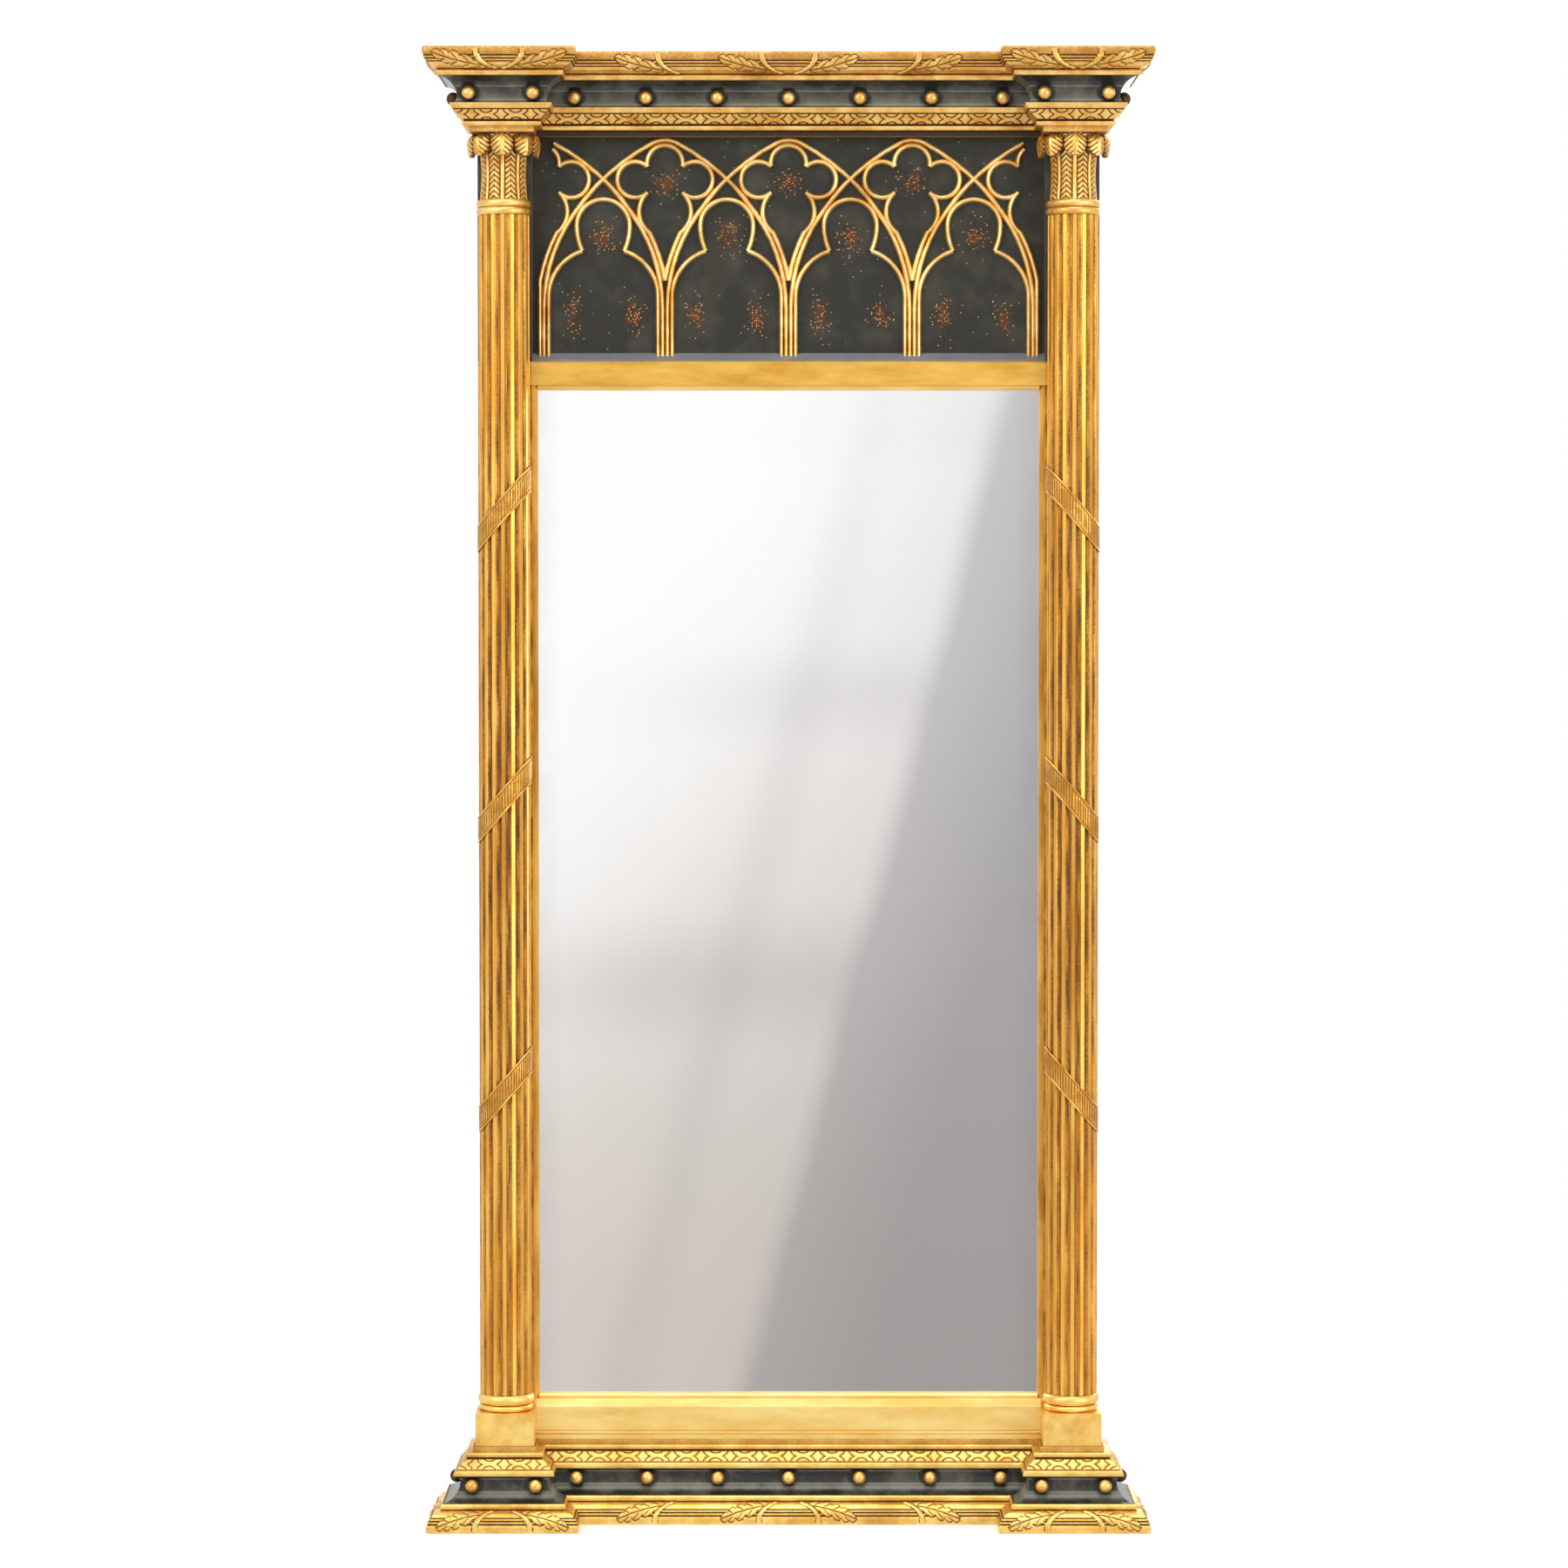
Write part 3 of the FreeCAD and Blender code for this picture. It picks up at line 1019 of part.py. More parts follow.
# The mirror, put together.
for hand, side in SIDES.items():
    corner_block("base_block_" + hand, side, "0", BASE_TOP, BASE_TOP)
    corner_block("cornice_block_" + hand, side, CORNICE_FOOT, "overall_height", CORNICE_FOOT)
    stile(hand, side)
    plinth(hand, side)
    shaft(hand, side)
    ribbons(hand, side)
    capital(hand, side)
    ring(hand, side)
group("column_bases", [column_base(side) for side in SIDES.values()])
group("neckings", [necking(side) for side in SIDES.values()])
group("hanger_straps", [strap(side) for side in SIDES.values()])
block_rail("base_rail", "0", BASE_TOP)
block_rail("top_rail", CORNICE_FOOT, "overall_height")
bottom_rail()
middle_rail()
sight_slips()
glazing()
frieze()
tracery()
screws()
for place_name in LEVELS:
    for layer in LAYERS:
        centre_moulding(place_name, layer)
        for hand, side in SIDES.items():
            block_moulding(place_name, layer, hand, side)
    balls(place_name)
doc.recompute()

faults = [item.Label for item in doc.Objects if "Invalid" in item.State or "Error" in item.State]
faults += [item.Label for item in NODES if item.Shape.isNull() or not item.Shape.isValid()]
if faults:
    raise SystemExit("failed: " + ", ".join(faults))
os.makedirs("parts", exist_ok=True)
for item in NODES:
    item.Shape.exportStep("parts/%s.step" % item.Label)
print(len(NODES), "sub-parts written")
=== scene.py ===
import functools
import math

import bpy
import numpy as np
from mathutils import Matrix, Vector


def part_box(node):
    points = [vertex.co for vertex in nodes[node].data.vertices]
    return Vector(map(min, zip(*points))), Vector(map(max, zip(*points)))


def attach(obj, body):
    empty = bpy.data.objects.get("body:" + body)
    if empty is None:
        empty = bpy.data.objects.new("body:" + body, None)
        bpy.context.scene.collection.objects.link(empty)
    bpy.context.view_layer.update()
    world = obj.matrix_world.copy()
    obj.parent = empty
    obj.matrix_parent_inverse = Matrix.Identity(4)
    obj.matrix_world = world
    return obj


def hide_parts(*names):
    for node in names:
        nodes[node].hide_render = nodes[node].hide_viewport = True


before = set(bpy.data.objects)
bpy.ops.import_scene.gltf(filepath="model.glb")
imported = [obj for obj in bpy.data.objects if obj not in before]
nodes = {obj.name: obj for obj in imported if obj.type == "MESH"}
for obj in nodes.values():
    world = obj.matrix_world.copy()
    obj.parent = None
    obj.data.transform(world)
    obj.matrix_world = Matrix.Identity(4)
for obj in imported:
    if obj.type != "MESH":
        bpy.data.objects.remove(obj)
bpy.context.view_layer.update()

# A pier mirror about 1.3 m high: gilt and ebonised softwood round a silvered plate, with a Gothic frieze above it.
# Lengths below are millimetres in the part's own frame: x to the right, "front" from the wall towards the viewer, z up.
WALL = 53.0


# Carcass: corner blocks with rails tenoned between them, sawn from pine and left bare.
# Only backs and undersides show, browned by age, with saw marks and the paler and darker lines of the grain.
def linear(code):
    """Linear colour of an sRGB hex value: c / 12.92 in the dark part, ((c + 0.055) / 1.055) ^ 2.4 above it."""
    channels = np.array([int(code[start:start + 2], 16) for start in (1, 3, 5)]) / 255
    return (*np.where(channels <= 0.04045, channels / 12.92, ((channels + 0.055) / 1.055) ** 2.4), 1.0)


def plug(node, links):
    """Gives each named or numbered input of a node another node's socket, a plain value or an sRGB hex colour."""
    for name, source in links.items():
        if isinstance(source, bpy.types.NodeSocket):
            node.id_data.links.new(source, node.inputs[name])
        else:
            node.inputs[name].default_value = linear(source) if isinstance(source, str) else source


def add_node(tree, kind, links=None, **settings):
    """Adds a node with its settings and links and gives its first output in use; a kind in capitals is an operation of
    Math. Inputs by number: MapRange has the value, the range 1 to 2 and its new range 3 to 4; Mix lays colour 7 over
    colour 6 by share 0."""
    if kind.isupper():
        kind, settings = "Math", {"operation": kind}
    elif kind == "Mix":
        settings = {"data_type": "RGBA"}
    node = tree.nodes.new("ShaderNode" + kind)
    for name, setting in settings.items():
        setattr(node, name, setting)
    plug(node, links or {})
    return next((output for output in node.outputs if output.enabled), None)


def new_finish(name):
    """A new material: itself, the call that adds its nodes, its shader and the Object coordinates of its patterns."""
    material = bpy.data.materials.new(name)
    material.use_nodes = True
    add = functools.partial(add_node, material.node_tree)
    place = add("TexCoord").node.outputs["Object"]
    return material, add, material.node_tree.nodes["Principled BSDF"], place


def aged_pine(name, run):
    """Sawn pine, dry and brown: grain lines about 3 mm apart and 60 mm long, with clouds of darker wood."""
    material, add, shader, place = new_finish(name)
    grain_place = add("Mapping", {"Vector": place, "Scale": run})
    grain = add("TexNoise", {"Vector": grain_place, "Scale": 1000 / 3, "Detail": 5.0, "Roughness": 0.6})
    clouds = add("TexNoise", {"Vector": place, "Scale": 1000 / 70, "Detail": 4.0})
    lines = add("MapRange", {0: grain, 1: 0.35, 2: 0.68})
    wood = add("Mix", {0: lines, 6: "#a5814f", 7: "#7a5730"})
    dark = add("MapRange", {0: clouds, 1: 0.4, 2: 0.75, 4: 0.7})
    aged = add("Mix", {0: dark, 6: wood, 7: "#5d4124"})
    bump = add("Bump", {"Height": grain, "Strength": 0.35, "Distance": 0.0006})
    plug(shader, {"Base Color": aged, "Roughness": 0.72, "Normal": bump})
    return material


def dress(finish, *names):
    """Gives CAD nodes their finish."""
    for name in names:
        nodes[name].data.materials.clear()
        nodes[name].data.materials.append(finish)


dress(aged_pine("aged_pine_across", (0.05, 1, 1)), "base_rail", "top_rail", "base_block_left", "base_block_right",
      "cornice_block_left", "cornice_block_right", "frieze_glue_blocks")


# Stiles: uprights behind the columns, gilt beside the glass, blacked beside the frieze, bare at the back.
# A strip of their front shows on both sides of each column, with clouds of the gilder's dark toning.
FRIEZE_FOOT = 1031.0


def bare_back(add, place, run, limit, finish):
    """Leaves what lies further back than the limit, in metres, as bare pine with grain lines about 3 mm apart. Gives
    the colour, and 1 where the wood is bare."""
    drawn = add("Mapping", {"Vector": place, "Scale": run})
    grain = add("TexNoise", {"Vector": drawn, "Scale": 1000 / 3, "Detail": 5.0})
    wood = add("Mix", {0: grain, 6: "#a07c4b", 7: "#6b4a28"})
    axes = add("SeparateXYZ", {0: place}).node.outputs
    bare = add("GREATER_THAN", {0: axes[1], 1: limit})
    return add("Mix", {0: bare, 6: finish, 7: wood}), bare


def water_gilding(name, leaf, toned, rubbed, run=(1, 1, 1), limit=0.0525):
    """Gold leaf over red bole, toned and rubbed by time. Clouds of toning about 16 mm wide, rubbed places of 55 mm,
    grit of 2 mm, and brown dirt with painted shade where the carving is deep, near black in the deepest lines, as
    the attribute recess says. Where recess is below 0 the leaf is fresher and paler, as painted light. The wood is
    bare behind the limit."""
    material, add, shader, place = new_finish(name)
    drawn = add("Mapping", {"Vector": place, "Scale": run})
    clouds = add("TexNoise", {"Vector": drawn, "Scale": 1000 / 16, "Detail": 7.0, "Roughness": 0.65})
    worn = add("TexNoise", {"Vector": drawn, "Scale": 1000 / 55, "Detail": 6.0, "Roughness": 0.6})
    grit = add("TexNoise", {"Vector": place, "Scale": 1000 / 2.2, "Detail": 4.0})
    painted_light_and_dirt = add("Attribute", attribute_name="recess").node.outputs["Fac"]
    dirt_and_shade = add("MULTIPLY_ADD", {0: grit, 1: 0.7, 2: painted_light_and_dirt})
    aged = add("MULTIPLY_ADD", {0: painted_light_and_dirt, 1: 0.25, 2: clouds})
    toning = add("MapRange", {0: aged, 1: 0.38, 2: 0.66})
    rubbing = add("MapRange", {0: worn, 1: 0.52, 2: 0.7, 4: 0.75})
    # Painted shade with real dirt: recess darkens the gilding to brown, and to near black in deep lines.
    brown = add("MapRange", {0: dirt_and_shade, 1: 0.52, 2: 1.05, 4: 0.9})
    black = add("MapRange", {0: dirt_and_shade, 1: 0.95, 2: 1.4, 4: 0.95})
    gold = add("Mix", {0: toning, 6: leaf, 7: toned})
    thin = add("Mix", {0: rubbing, 6: gold, 7: rubbed})
    dirt_and_shade_colour = add("Mix", {0: brown, 6: thin, 7: "#8a5418"})
    finish = add("Mix", {0: black, 6: dirt_and_shade_colour, 7: "#32230f"})
    colour, bare = bare_back(add, place, run, limit, finish)
    plain = add("MAXIMUM", {0: brown, 1: bare})
    metal = add("MapRange", {0: plain, 3: 0.82, 4: 0.3})
    rough = add("MapRange", {0: brown, 3: 0.36, 4: 0.62})
    bump = add("Bump", {"Height": grit, "Strength": 0.3, "Distance": 0.0004})
    plug(shader, {"Base Color": colour, "Metallic": metal, "Roughness": rough, "Normal": bump})
    return material


def ebonised(name, black, dust_and_sheen, gloss):
    """Softwood blacked with lampblack and size, then waxed: nearly black, with grey dust where recess gathers it and
    clouds of rubbed wax about 30 mm wide; gloss is the roughness of the best of the wax. Recess also lays the same
    grey as painted sheen lines, and below 0 leaves the wax blacker as painted shade."""
    material, add, shader, place = new_finish(name)
    clouds = add("TexNoise", {"Vector": place, "Scale": 1000 / 30, "Detail": 7.0, "Roughness": 0.65})
    grit = add("TexNoise", {"Vector": place, "Scale": 1000 / 1.8, "Detail": 3.0})
    painted_light_and_dirt = add("Attribute", attribute_name="recess").node.outputs["Fac"]
    dusty = add("MULTIPLY_ADD", {0: clouds, 1: 0.9, 2: painted_light_and_dirt})
    film = add("MapRange", {0: dusty, 1: 0.42, 2: 1.15, 4: 0.8})
    # Painted light with dust: recess above 0 lays the pale grey as dust and sheen lines, below 0 it stays black as
    # shade.
    colour = add("Mix", {0: film, 6: black, 7: dust_and_sheen})
    speck = add("MapRange", {0: grit, 1: 0.7, 2: 0.8, 4: 0.4})
    flecked = add("Mix", {0: speck, 6: colour, 7: "#6a5a42"})
    rough = add("MapRange", {0: film, 3: gloss, 4: gloss + 0.3})
    bump = add("Bump", {"Height": grit, "Strength": 0.15, "Distance": 0.0003})
    plug(shader, {"Base Color": flecked, "Roughness": rough, "Specular IOR Level": 0.35, "Normal": bump})
    return material


def stile_finish():
    """Gold leaf below the middle rail, black above it, and bare pine behind: chosen by height and by depth."""
    material, add, shader, place = new_finish("gilt_and_blacked_pine")
    axes = add("SeparateXYZ", {0: place}).node.outputs
    clouds = add("TexNoise", {"Vector": place, "Scale": 1000 / 18, "Detail": 7.0})
    toning = add("MapRange", {0: clouds, 1: 0.36, 2: 0.68})
    gold = add("Mix", {0: toning, 6: "#dca642", 7: "#96601a"})
    black = add("Mix", {0: toning, 6: "#2a2b27", 7: "#45463e"})
    high = add("GREATER_THAN", {0: axes[2], 1: FRIEZE_FOOT / 1000})
    front = add("Mix", {0: high, 6: gold, 7: black})
    colour, bare = bare_back(add, place, (1, 1, 0.05), 0.0285, front)
    plain = add("MAXIMUM", {0: high, 1: bare})
    metal = add("MapRange", {0: plain, 3: 0.6, 4: 0.0})
    bump = add("Bump", {"Height": clouds, "Strength": 0.2, "Distance": 0.0005})
    plug(shader, {"Base Color": colour, "Metallic": metal, "Roughness": 0.5, "Normal": bump})
    return material


dress(stile_finish(), "left_stile", "right_stile")


# Rails and sight slips: the flat bottom rail with its bevel and bead, the plain middle rail, and four narrow slips
# that hide the edge of the plate. All are gilt, with long drawn clouds of toning along their length.
upper_gilding = water_gilding("upper_rail_gilding", "#eabb5a", "#d29a3a", "#b5741f", run=(0.25, 1, 1), limit=0.0375)
# Painted light: a paler copy of the gilding brightens the bottom rail and the slips above and below the plate.
painted_light_gilding = water_gilding("lower_rail_gilding_painted_light", "#fbdc8c", "#f0c468", "#cf9238", run=(0.25, 1, 1), limit=0.0375)
upright_gilding = water_gilding("slip_gilding", "#efbf5c", "#c98a2c", "#8f5a1a", run=(1, 1, 0.2))
dress(upper_gilding, "middle_rail")
dress(painted_light_gilding, "bottom_rail", "upper_sight_slip", "lower_sight_slip")
dress(upright_gilding, "left_sight_slip", "right_sight_slip")


# Mirror plate: drawn glass with a tin and silver back, cut square and held in the rebate.
# It gives a clean, cool image, with a faint grey veil where the silver has dulled towards the edge.
def silvered_plate():
    """Silver seen through glass: a mirror, dulled in clouds of 45 mm within the last 25 mm of both sides."""
    material, add, shader, place = new_finish("silvered_plate_glass")
    clouds = add("TexNoise", {"Vector": place, "Scale": 1000 / 45, "Detail": 6.0})
    axes = add("SeparateXYZ", {0: place}).node.outputs
    across = add("ABSOLUTE", {0: axes[0]})
    edge = add("MapRange", {0: across, 1: 0.2, 2: 0.225, 4: 0.45})
    veil = add("MULTIPLY", {0: clouds, 1: edge})
    silver = add("Mix", {0: veil, 6: "#fdfdfc", 7: "#c9c6c0"})
    rough = add("MapRange", {0: veil, 3: 0.015, 4: 0.09})
    plug(shader, {"Base Color": silver, "Metallic": 1.0, "Roughness": rough})
    return material


dress(silvered_plate(), "mirror_glass")


# Backboard: thin boards behind the plate, browned by dust, held by nailed pine fillets in the rebate.
# Saw marks run up and down the boards.
dress(aged_pine("dusty_backboard", (1, 1, 0.04)), "mirror_backboard")
dress(aged_pine("pine_fillets", (1, 1, 0.06)), "backing_fillets")


# Frieze ground: a thin panel painted black, set in the same rebate as the plate and held by glue blocks.
# Each lancet and quatrefoil has a cloud of small orange and russet flecks, with a few pale dots between them.
def ridge(off, width):
    """Height of a smooth ridge, exp(-(off / width)^2): 1 on its line, nearly 0 at twice its width."""
    return np.exp(-(off / width) ** 2)


def shell(x, y, z, recess=0.0, loop=False):
    """Closed skin over a grid of points: rows along the piece, each row a closed outline whose last point joins its
    first. Quads fill the grid; a flat face closes the first and last row, or they are joined when loop is set."""
    points = np.stack(np.broadcast_arrays(x, y, z), axis=-1)
    rows, columns = points.shape[:2]
    order = np.arange(rows * columns).reshape(rows, columns)
    ends = np.concatenate([order, order[:1]]) if loop else order
    after = np.roll(ends, -1, axis=1)
    quads = np.stack([ends[:-1], after[:-1], after[1:], ends[1:]], axis=-1).reshape(-1, 4)
    corners = points.reshape(-1, 3)
    middle = corners - corners.mean(axis=0)
    halves = np.concatenate([quads[:, [0, 1, 2]], quads[:, [0, 2, 3]]])
    volume = np.einsum("ij,ij->i", middle[halves[:, 0]], np.cross(middle[halves[:, 1]], middle[halves[:, 2]])).sum()
    inside_out = volume < 0
    faces = (quads[:, ::-1] if inside_out else quads).tolist()
    if not loop:
        caps = [order[0][::-1].tolist(), order[-1].tolist()]
        faces += [cap[::-1] for cap in caps] if inside_out else caps
    return corners, faces, np.broadcast_to(recess, (rows, columns)).ravel()


def new_object(name, data):
    """An object with its data, placed in the scene."""
    item = bpy.data.objects.new(name, data)
    bpy.context.scene.collection.objects.link(item)
    return item


def piece(name, shells, finish, stands_for, body="frame", crease=42):
    """One object from closed skins in millimetres, with its finish, its body and the CAD nodes that it stands for."""
    starts = np.cumsum([0] + [len(skin[0]) for skin in shells])
    corners = np.concatenate([skin[0] for skin in shells]) / 1000
    faces = [[corner + start for corner in face] for skin, start in zip(shells, starts.tolist()) for face in skin[1]]
    mesh = bpy.data.meshes.new(name)
    mesh.from_pydata(corners.tolist(), [], faces)
    mesh.shade_smooth()
    mesh.set_sharp_from_angle(angle=math.radians(crease))
    mesh.attributes.new("recess", "FLOAT", "POINT").data.foreach_set(
        "value", np.concatenate([skin[2] for skin in shells]).astype(np.float32))
    mesh.materials.append(finish)
    item = new_object(name, mesh)
    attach(item, body)
    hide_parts(*stands_for)


BAY = 109.7
PANEL_FRONT = 16.0


def flecked_black():
    """Black size paint. Inside the clouds that recess gives, dots of gold paint and red-brown stain about 1 mm wide
    and 1.8 mm apart; pale dots of 1 mm, 9 mm apart, all over; and a thin green-grey bloom of dust. The back is bare."""
    material, add, shader, place = new_finish("flecked_black_panel")
    cloud = add("Attribute", attribute_name="recess").node.outputs["Fac"]
    seeds = add("TexVoronoi", {"Vector": place, "Scale": 1000 / 1.8}).node.outputs
    chance = add("SeparateColor", {0: seeds["Color"]}).node.outputs
    stains = add("TexNoise", {"Vector": place, "Scale": 1000 / 4, "Detail": 4.0})
    bloom = add("TexNoise", {"Vector": place, "Scale": 1000 / 26, "Detail": 7.0})
    dots = add("TexVoronoi", {"Vector": place, "Scale": 1000 / 9})
    film = add("MapRange", {0: bloom, 1: 0.45, 2: 0.8, 4: 0.5})
    ground = add("Mix", {0: film, 6: "#27261f", 7: "#545145"})
    held = add("MULTIPLY_ADD", {0: cloud, 1: 0.3, 2: stains})
    stain = add("MapRange", {0: held, 1: 0.7, 2: 0.8, 4: 0.8})
    stained = add("Mix", {0: stain, 6: ground, 7: "#623012"})
    likely = add("MULTIPLY", {0: cloud, 1: 0.6})
    chosen = add("LESS_THAN", {0: chance[0], 1: likely})
    round_dot = add("MapRange", {0: seeds["Distance"], 1: 0.42, 2: 0.3})
    fleck = add("MULTIPLY", {0: chosen, 1: round_dot})
    paint = add("Mix", {0: chance[1], 6: "#e6a94e", 7: "#b5641f"})
    patched = add("Mix", {0: fleck, 6: stained, 7: paint})
    dot = add("MapRange", {0: dots, 1: 0.07, 2: 0.05, 4: 0.7})
    dotted = add("Mix", {0: dot, 6: patched, 7: "#b9b7a6"})
    colour, _ = bare_back(add, place, (0.05, 1, 1), 0.038, dotted)
    bump = add("Bump", {"Height": stains, "Strength": 0.12, "Distance": 0.0004})
    plug(shader, {"Base Color": colour, "Roughness": 0.5, "Specular IOR Level": 0.3, "Normal": bump})
    return material


def frieze_ground():
    """A flat board; recess adds soft round clouds at each lancet's head, its two feet and each quatrefoil."""
    low, high = np.array(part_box("frieze_panel")) * 1000
    x = np.linspace(low[0], high[0], 230)[:, None]
    z = np.linspace(low[2], high[2], 110)
    clouds = [(BAY * (bay + 0.5) + shift, up, wide, tall) for bay in range(-2, 2)
              for shift, up, wide, tall in ((0, 111, 10, 13), (-28, 43, 7, 14), (27, 41, 7, 14))]
    clouds += [(BAY * mullion, 159, 11, 10) for mullion in (-1, 0, 1)]
    recess = sum(ridge(x - across, wide) * ridge(z - FRIEZE_FOOT - up, tall) for across, up, wide, tall in clouds)
    y = np.repeat([low[1], high[1]], [len(z), 2])
    return shell(x, y, np.append(z, [high[2], low[2]]), np.pad(recess, ((0, 0), (0, 2))))


piece("frieze_ground", [frieze_ground()], flecked_black(), ["frieze_panel"])
black_wax = ebonised("ebonised_pine", "#2c2b25", "#a5a28f", 0.2)
# The sloped sill is painted pale grey: painted light where its slope faces the light from above.
dress(ebonised("ebonised_sill_painted_top_light", "#74777a", "#a2a5a4", 0.35), "frieze_sill")


# Tracery: half-round gilt ribs, sawn and carved in short lengths and planted on the panel.
# Arches cross from each mullion to the next but one; cusped lancets stand below them, quatrefoils hang between.
RIB_DEPTH = 5.4
RIB_FOOT = 5.0
END_RIB = 1.4


def arc(centre, radius, start, end):
    """Points of an arc between two angles in degrees from +x, one about every five degrees."""
    turn = np.radians(np.linspace(start, end, max(2, math.ceil(abs(end - start) / 5)) + 1))
    return np.stack([centre[0] + radius * np.cos(turn), centre[1] + radius * np.sin(turn)], axis=-1)


def heading(centre, point):
    """Angle of a point about a centre, in degrees from +x."""
    return math.degrees(math.atan2(point[1] - centre[1], point[0] - centre[0]))


def bow_centre(first, last, radius, turn):
    """The point at a radius from two others, to the left (1) or right (-1) of the way from first to last."""
    run = np.subtract(last, first)
    lift = turn * math.sqrt(radius ** 2 - run @ run / 4) / np.hypot(*run)
    return np.add(first, last) / 2 + lift * np.array([-run[1], run[0]])


def bow(first, last, radius, turn):
    """The short arc between two points about that centre."""
    centre = bow_centre(first, last, radius, turn)
    start = heading(centre, first)
    sweep = (heading(centre, last) - start + 180) % 360 - 180
    return arc(centre, radius, start, start + sweep)


def mirrored(path):
    """The same path on the other side of x = 0."""
    return path * [-1, 1]


def set_off(path, along, aside):
    """Points beside a path, at distances square to the direction along it."""
    along = along / np.hypot(along[:, 0], along[:, 1])[:, None]
    return path[:, :1] + along[:, 1:] * aside, path[:, 1:] - along[:, :1] * aside


def rib(path):
    """A half-round carried along a path in the plane of the panel: each outline is half an ellipse set square to the
    path, 4 mm wide in a mullion and 5 mm above it; recess is 1 at the feet and 0 from a sixth of the height up, as
    painted shade where the rib meets the panel."""
    turn = np.linspace(0, np.pi, 11)
    half = 2.0 + 0.5 * np.clip(path[:, 1:] / 40 - 1, 0, 1)
    x, up = set_off(path, np.gradient(path, axis=0), half * np.cos(turn))
    out = np.sin(turn)
    return shell(x, WALL - PANEL_FRONT - RIB_DEPTH * out, FRIEZE_FOOT + up, np.clip(1 - 6 * out, 0, 1))


def arch(with_apex):
    """Half an arch from a mullion: upright, haunch of 144 mm, flatter flank, small round apex over the next one."""
    steep, flat, haunch, apex, foot = math.radians(60), math.radians(28), 144.0, 24.0, 2.15
    spread = BAY - foot - haunch * (1 - math.sin(steep)) - apex * math.sin(flat)
    flank = spread / (math.sin(steep) - math.sin(flat))
    rise = haunch * math.cos(steep) + flank * (math.cos(flat) - math.cos(steep)) + apex * (1 - math.cos(flat))
    spring = 196.6 - rise
    centre = np.array([foot + haunch, spring])
    parts = [np.array([[foot, RIB_FOOT], [foot, spring / 2]]), arc(centre, haunch, 180, 150)]
    centre = centre + (flank - haunch) * np.array([math.sin(steep), -math.cos(steep)])
    parts.append(arc(centre, flank, 150, 118)[1:])
    if with_apex:
        centre = centre + (flank - apex) * np.array([-math.sin(flat), math.cos(flat)])
        parts.append(arc(centre, apex, 118, 90)[1:])
    return np.concatenate(parts)


def upright_radius(across, up):
    """Radius of an arc that is upright at one end and goes this far across and up from the other."""
    return (across ** 2 + up ** 2) / (2 * across)


def lancet():
    """Straight jambs, lower foils up to the cusps, then a stilted round head from cusp to cusp."""
    jamb, spring, cusp, radius, head = 48.5, 58.0, np.array([18.6, 98.3]), 23.5, 120.5
    foil = upright_radius(jamb - cusp[0], cusp[1] - spring)
    side = np.concatenate([[[jamb, RIB_FOOT], [jamb, spring / 2]],
                           arc((jamb - foil, spring), foil, 0, heading((jamb - foil, spring), cusp))])
    stilt = upright_radius(radius - cusp[0], head - cusp[1])
    rise = arc((radius - stilt, head), stilt, heading((radius - stilt, head), cusp), 0)
    crown = np.concatenate([rise, arc((0, head), radius, 0, 180)[1:], mirrored(rise)[::-1][1:]])
    return [side, mirrored(side), crown]


def quatrefoil(whole):
    """Three round lobes and a hanging drop, its flanks 4.6 mm beside the arches; at the ends of the frieze only its
    right-hand part, which runs down into the outer rib of the end mullion."""
    height, radius = 161.5, 15.8
    top, side = np.array([0, height + 14.5]), np.array([26.4, height])
    cusp = bow_centre(top, side, radius, 1)
    low_cusp = np.array([cusp[0], 2 * height - cusp[1]])
    waist, tip = np.array([13.5, height - 47]), np.array([0 if whole else -END_RIB, height - 89.3])
    half = [arc(side, radius, heading(side, low_cusp), heading(side, cusp)),
            np.concatenate([bow(low_cusp, waist, 23, -1), bow(waist, tip, 148.6, 1)[1:]])]
    if not whole:
        return half + [arc(top, radius, heading(top, cusp), math.degrees(math.acos(10 / radius)))]
    return half + [mirrored(path) for path in half] + [arc(top, radius, heading(top, cusp), 180 - heading(top, cusp))]


def tracery():
    """All the paths of the frieze: arches, lancets, quatrefoils, and the half foils and edge ribs at both ends."""
    rise, last = arch(True), arch(False)
    over = np.concatenate([rise, ([2 * BAY, 0] + rise * [-1, 1])[::-1][1:]])
    paths = [over + [BAY * mullion, 0] for mullion in (-2, -1, 0)]
    paths += [last + [BAY, 0], mirrored(last + [BAY, 0])]
    paths += [path + [BAY * (bay + 0.5), 0] for bay in range(-2, 2) for path in lancet()]
    paths += [path + [BAY * mullion, 0] for mullion in (-1, 0, 1) for path in quatrefoil(True)]
    ends = [path + [-2 * BAY, 0] for path in quatrefoil(False)]
    ends.append(np.array([[-2 * BAY - END_RIB, up] for up in (RIB_FOOT, 72.2)]))
    return paths + ends + [mirrored(path) for path in ends]


carved_gilding = water_gilding("carved_gilding", "#f8d080", "#dba045", "#ae6c1c")
rib_gilding = water_gilding("rib_gilding", "#f9dc9a", "#e2b25a", "#bd8028")
piece("gothic_tracery", [rib(path) for path in tracery()], rib_gilding, ["frieze_tracery"])


# Column feet: a square plinth block with eased edges, and a turned base of a wide roll over a narrow one.
# The turnings are planed flat at the back, where they are glued to the stile.
COLUMN_X = 251.5
COLUMN_FRONT = 39.0
BACK_FLAT = 13.0
PLINTH_TOP = 99.0
ROLL_TOP = 104.8
SHAFT_FOOT = 114.0
SIDES = {"left": -1, "right": 1}


def dome(off):
    """Height of a half-round of 1, sqrt(1 - off^2): 1 in the middle and 0 from 1 outwards."""
    return np.sqrt(np.maximum(1 - off ** 2, 0))


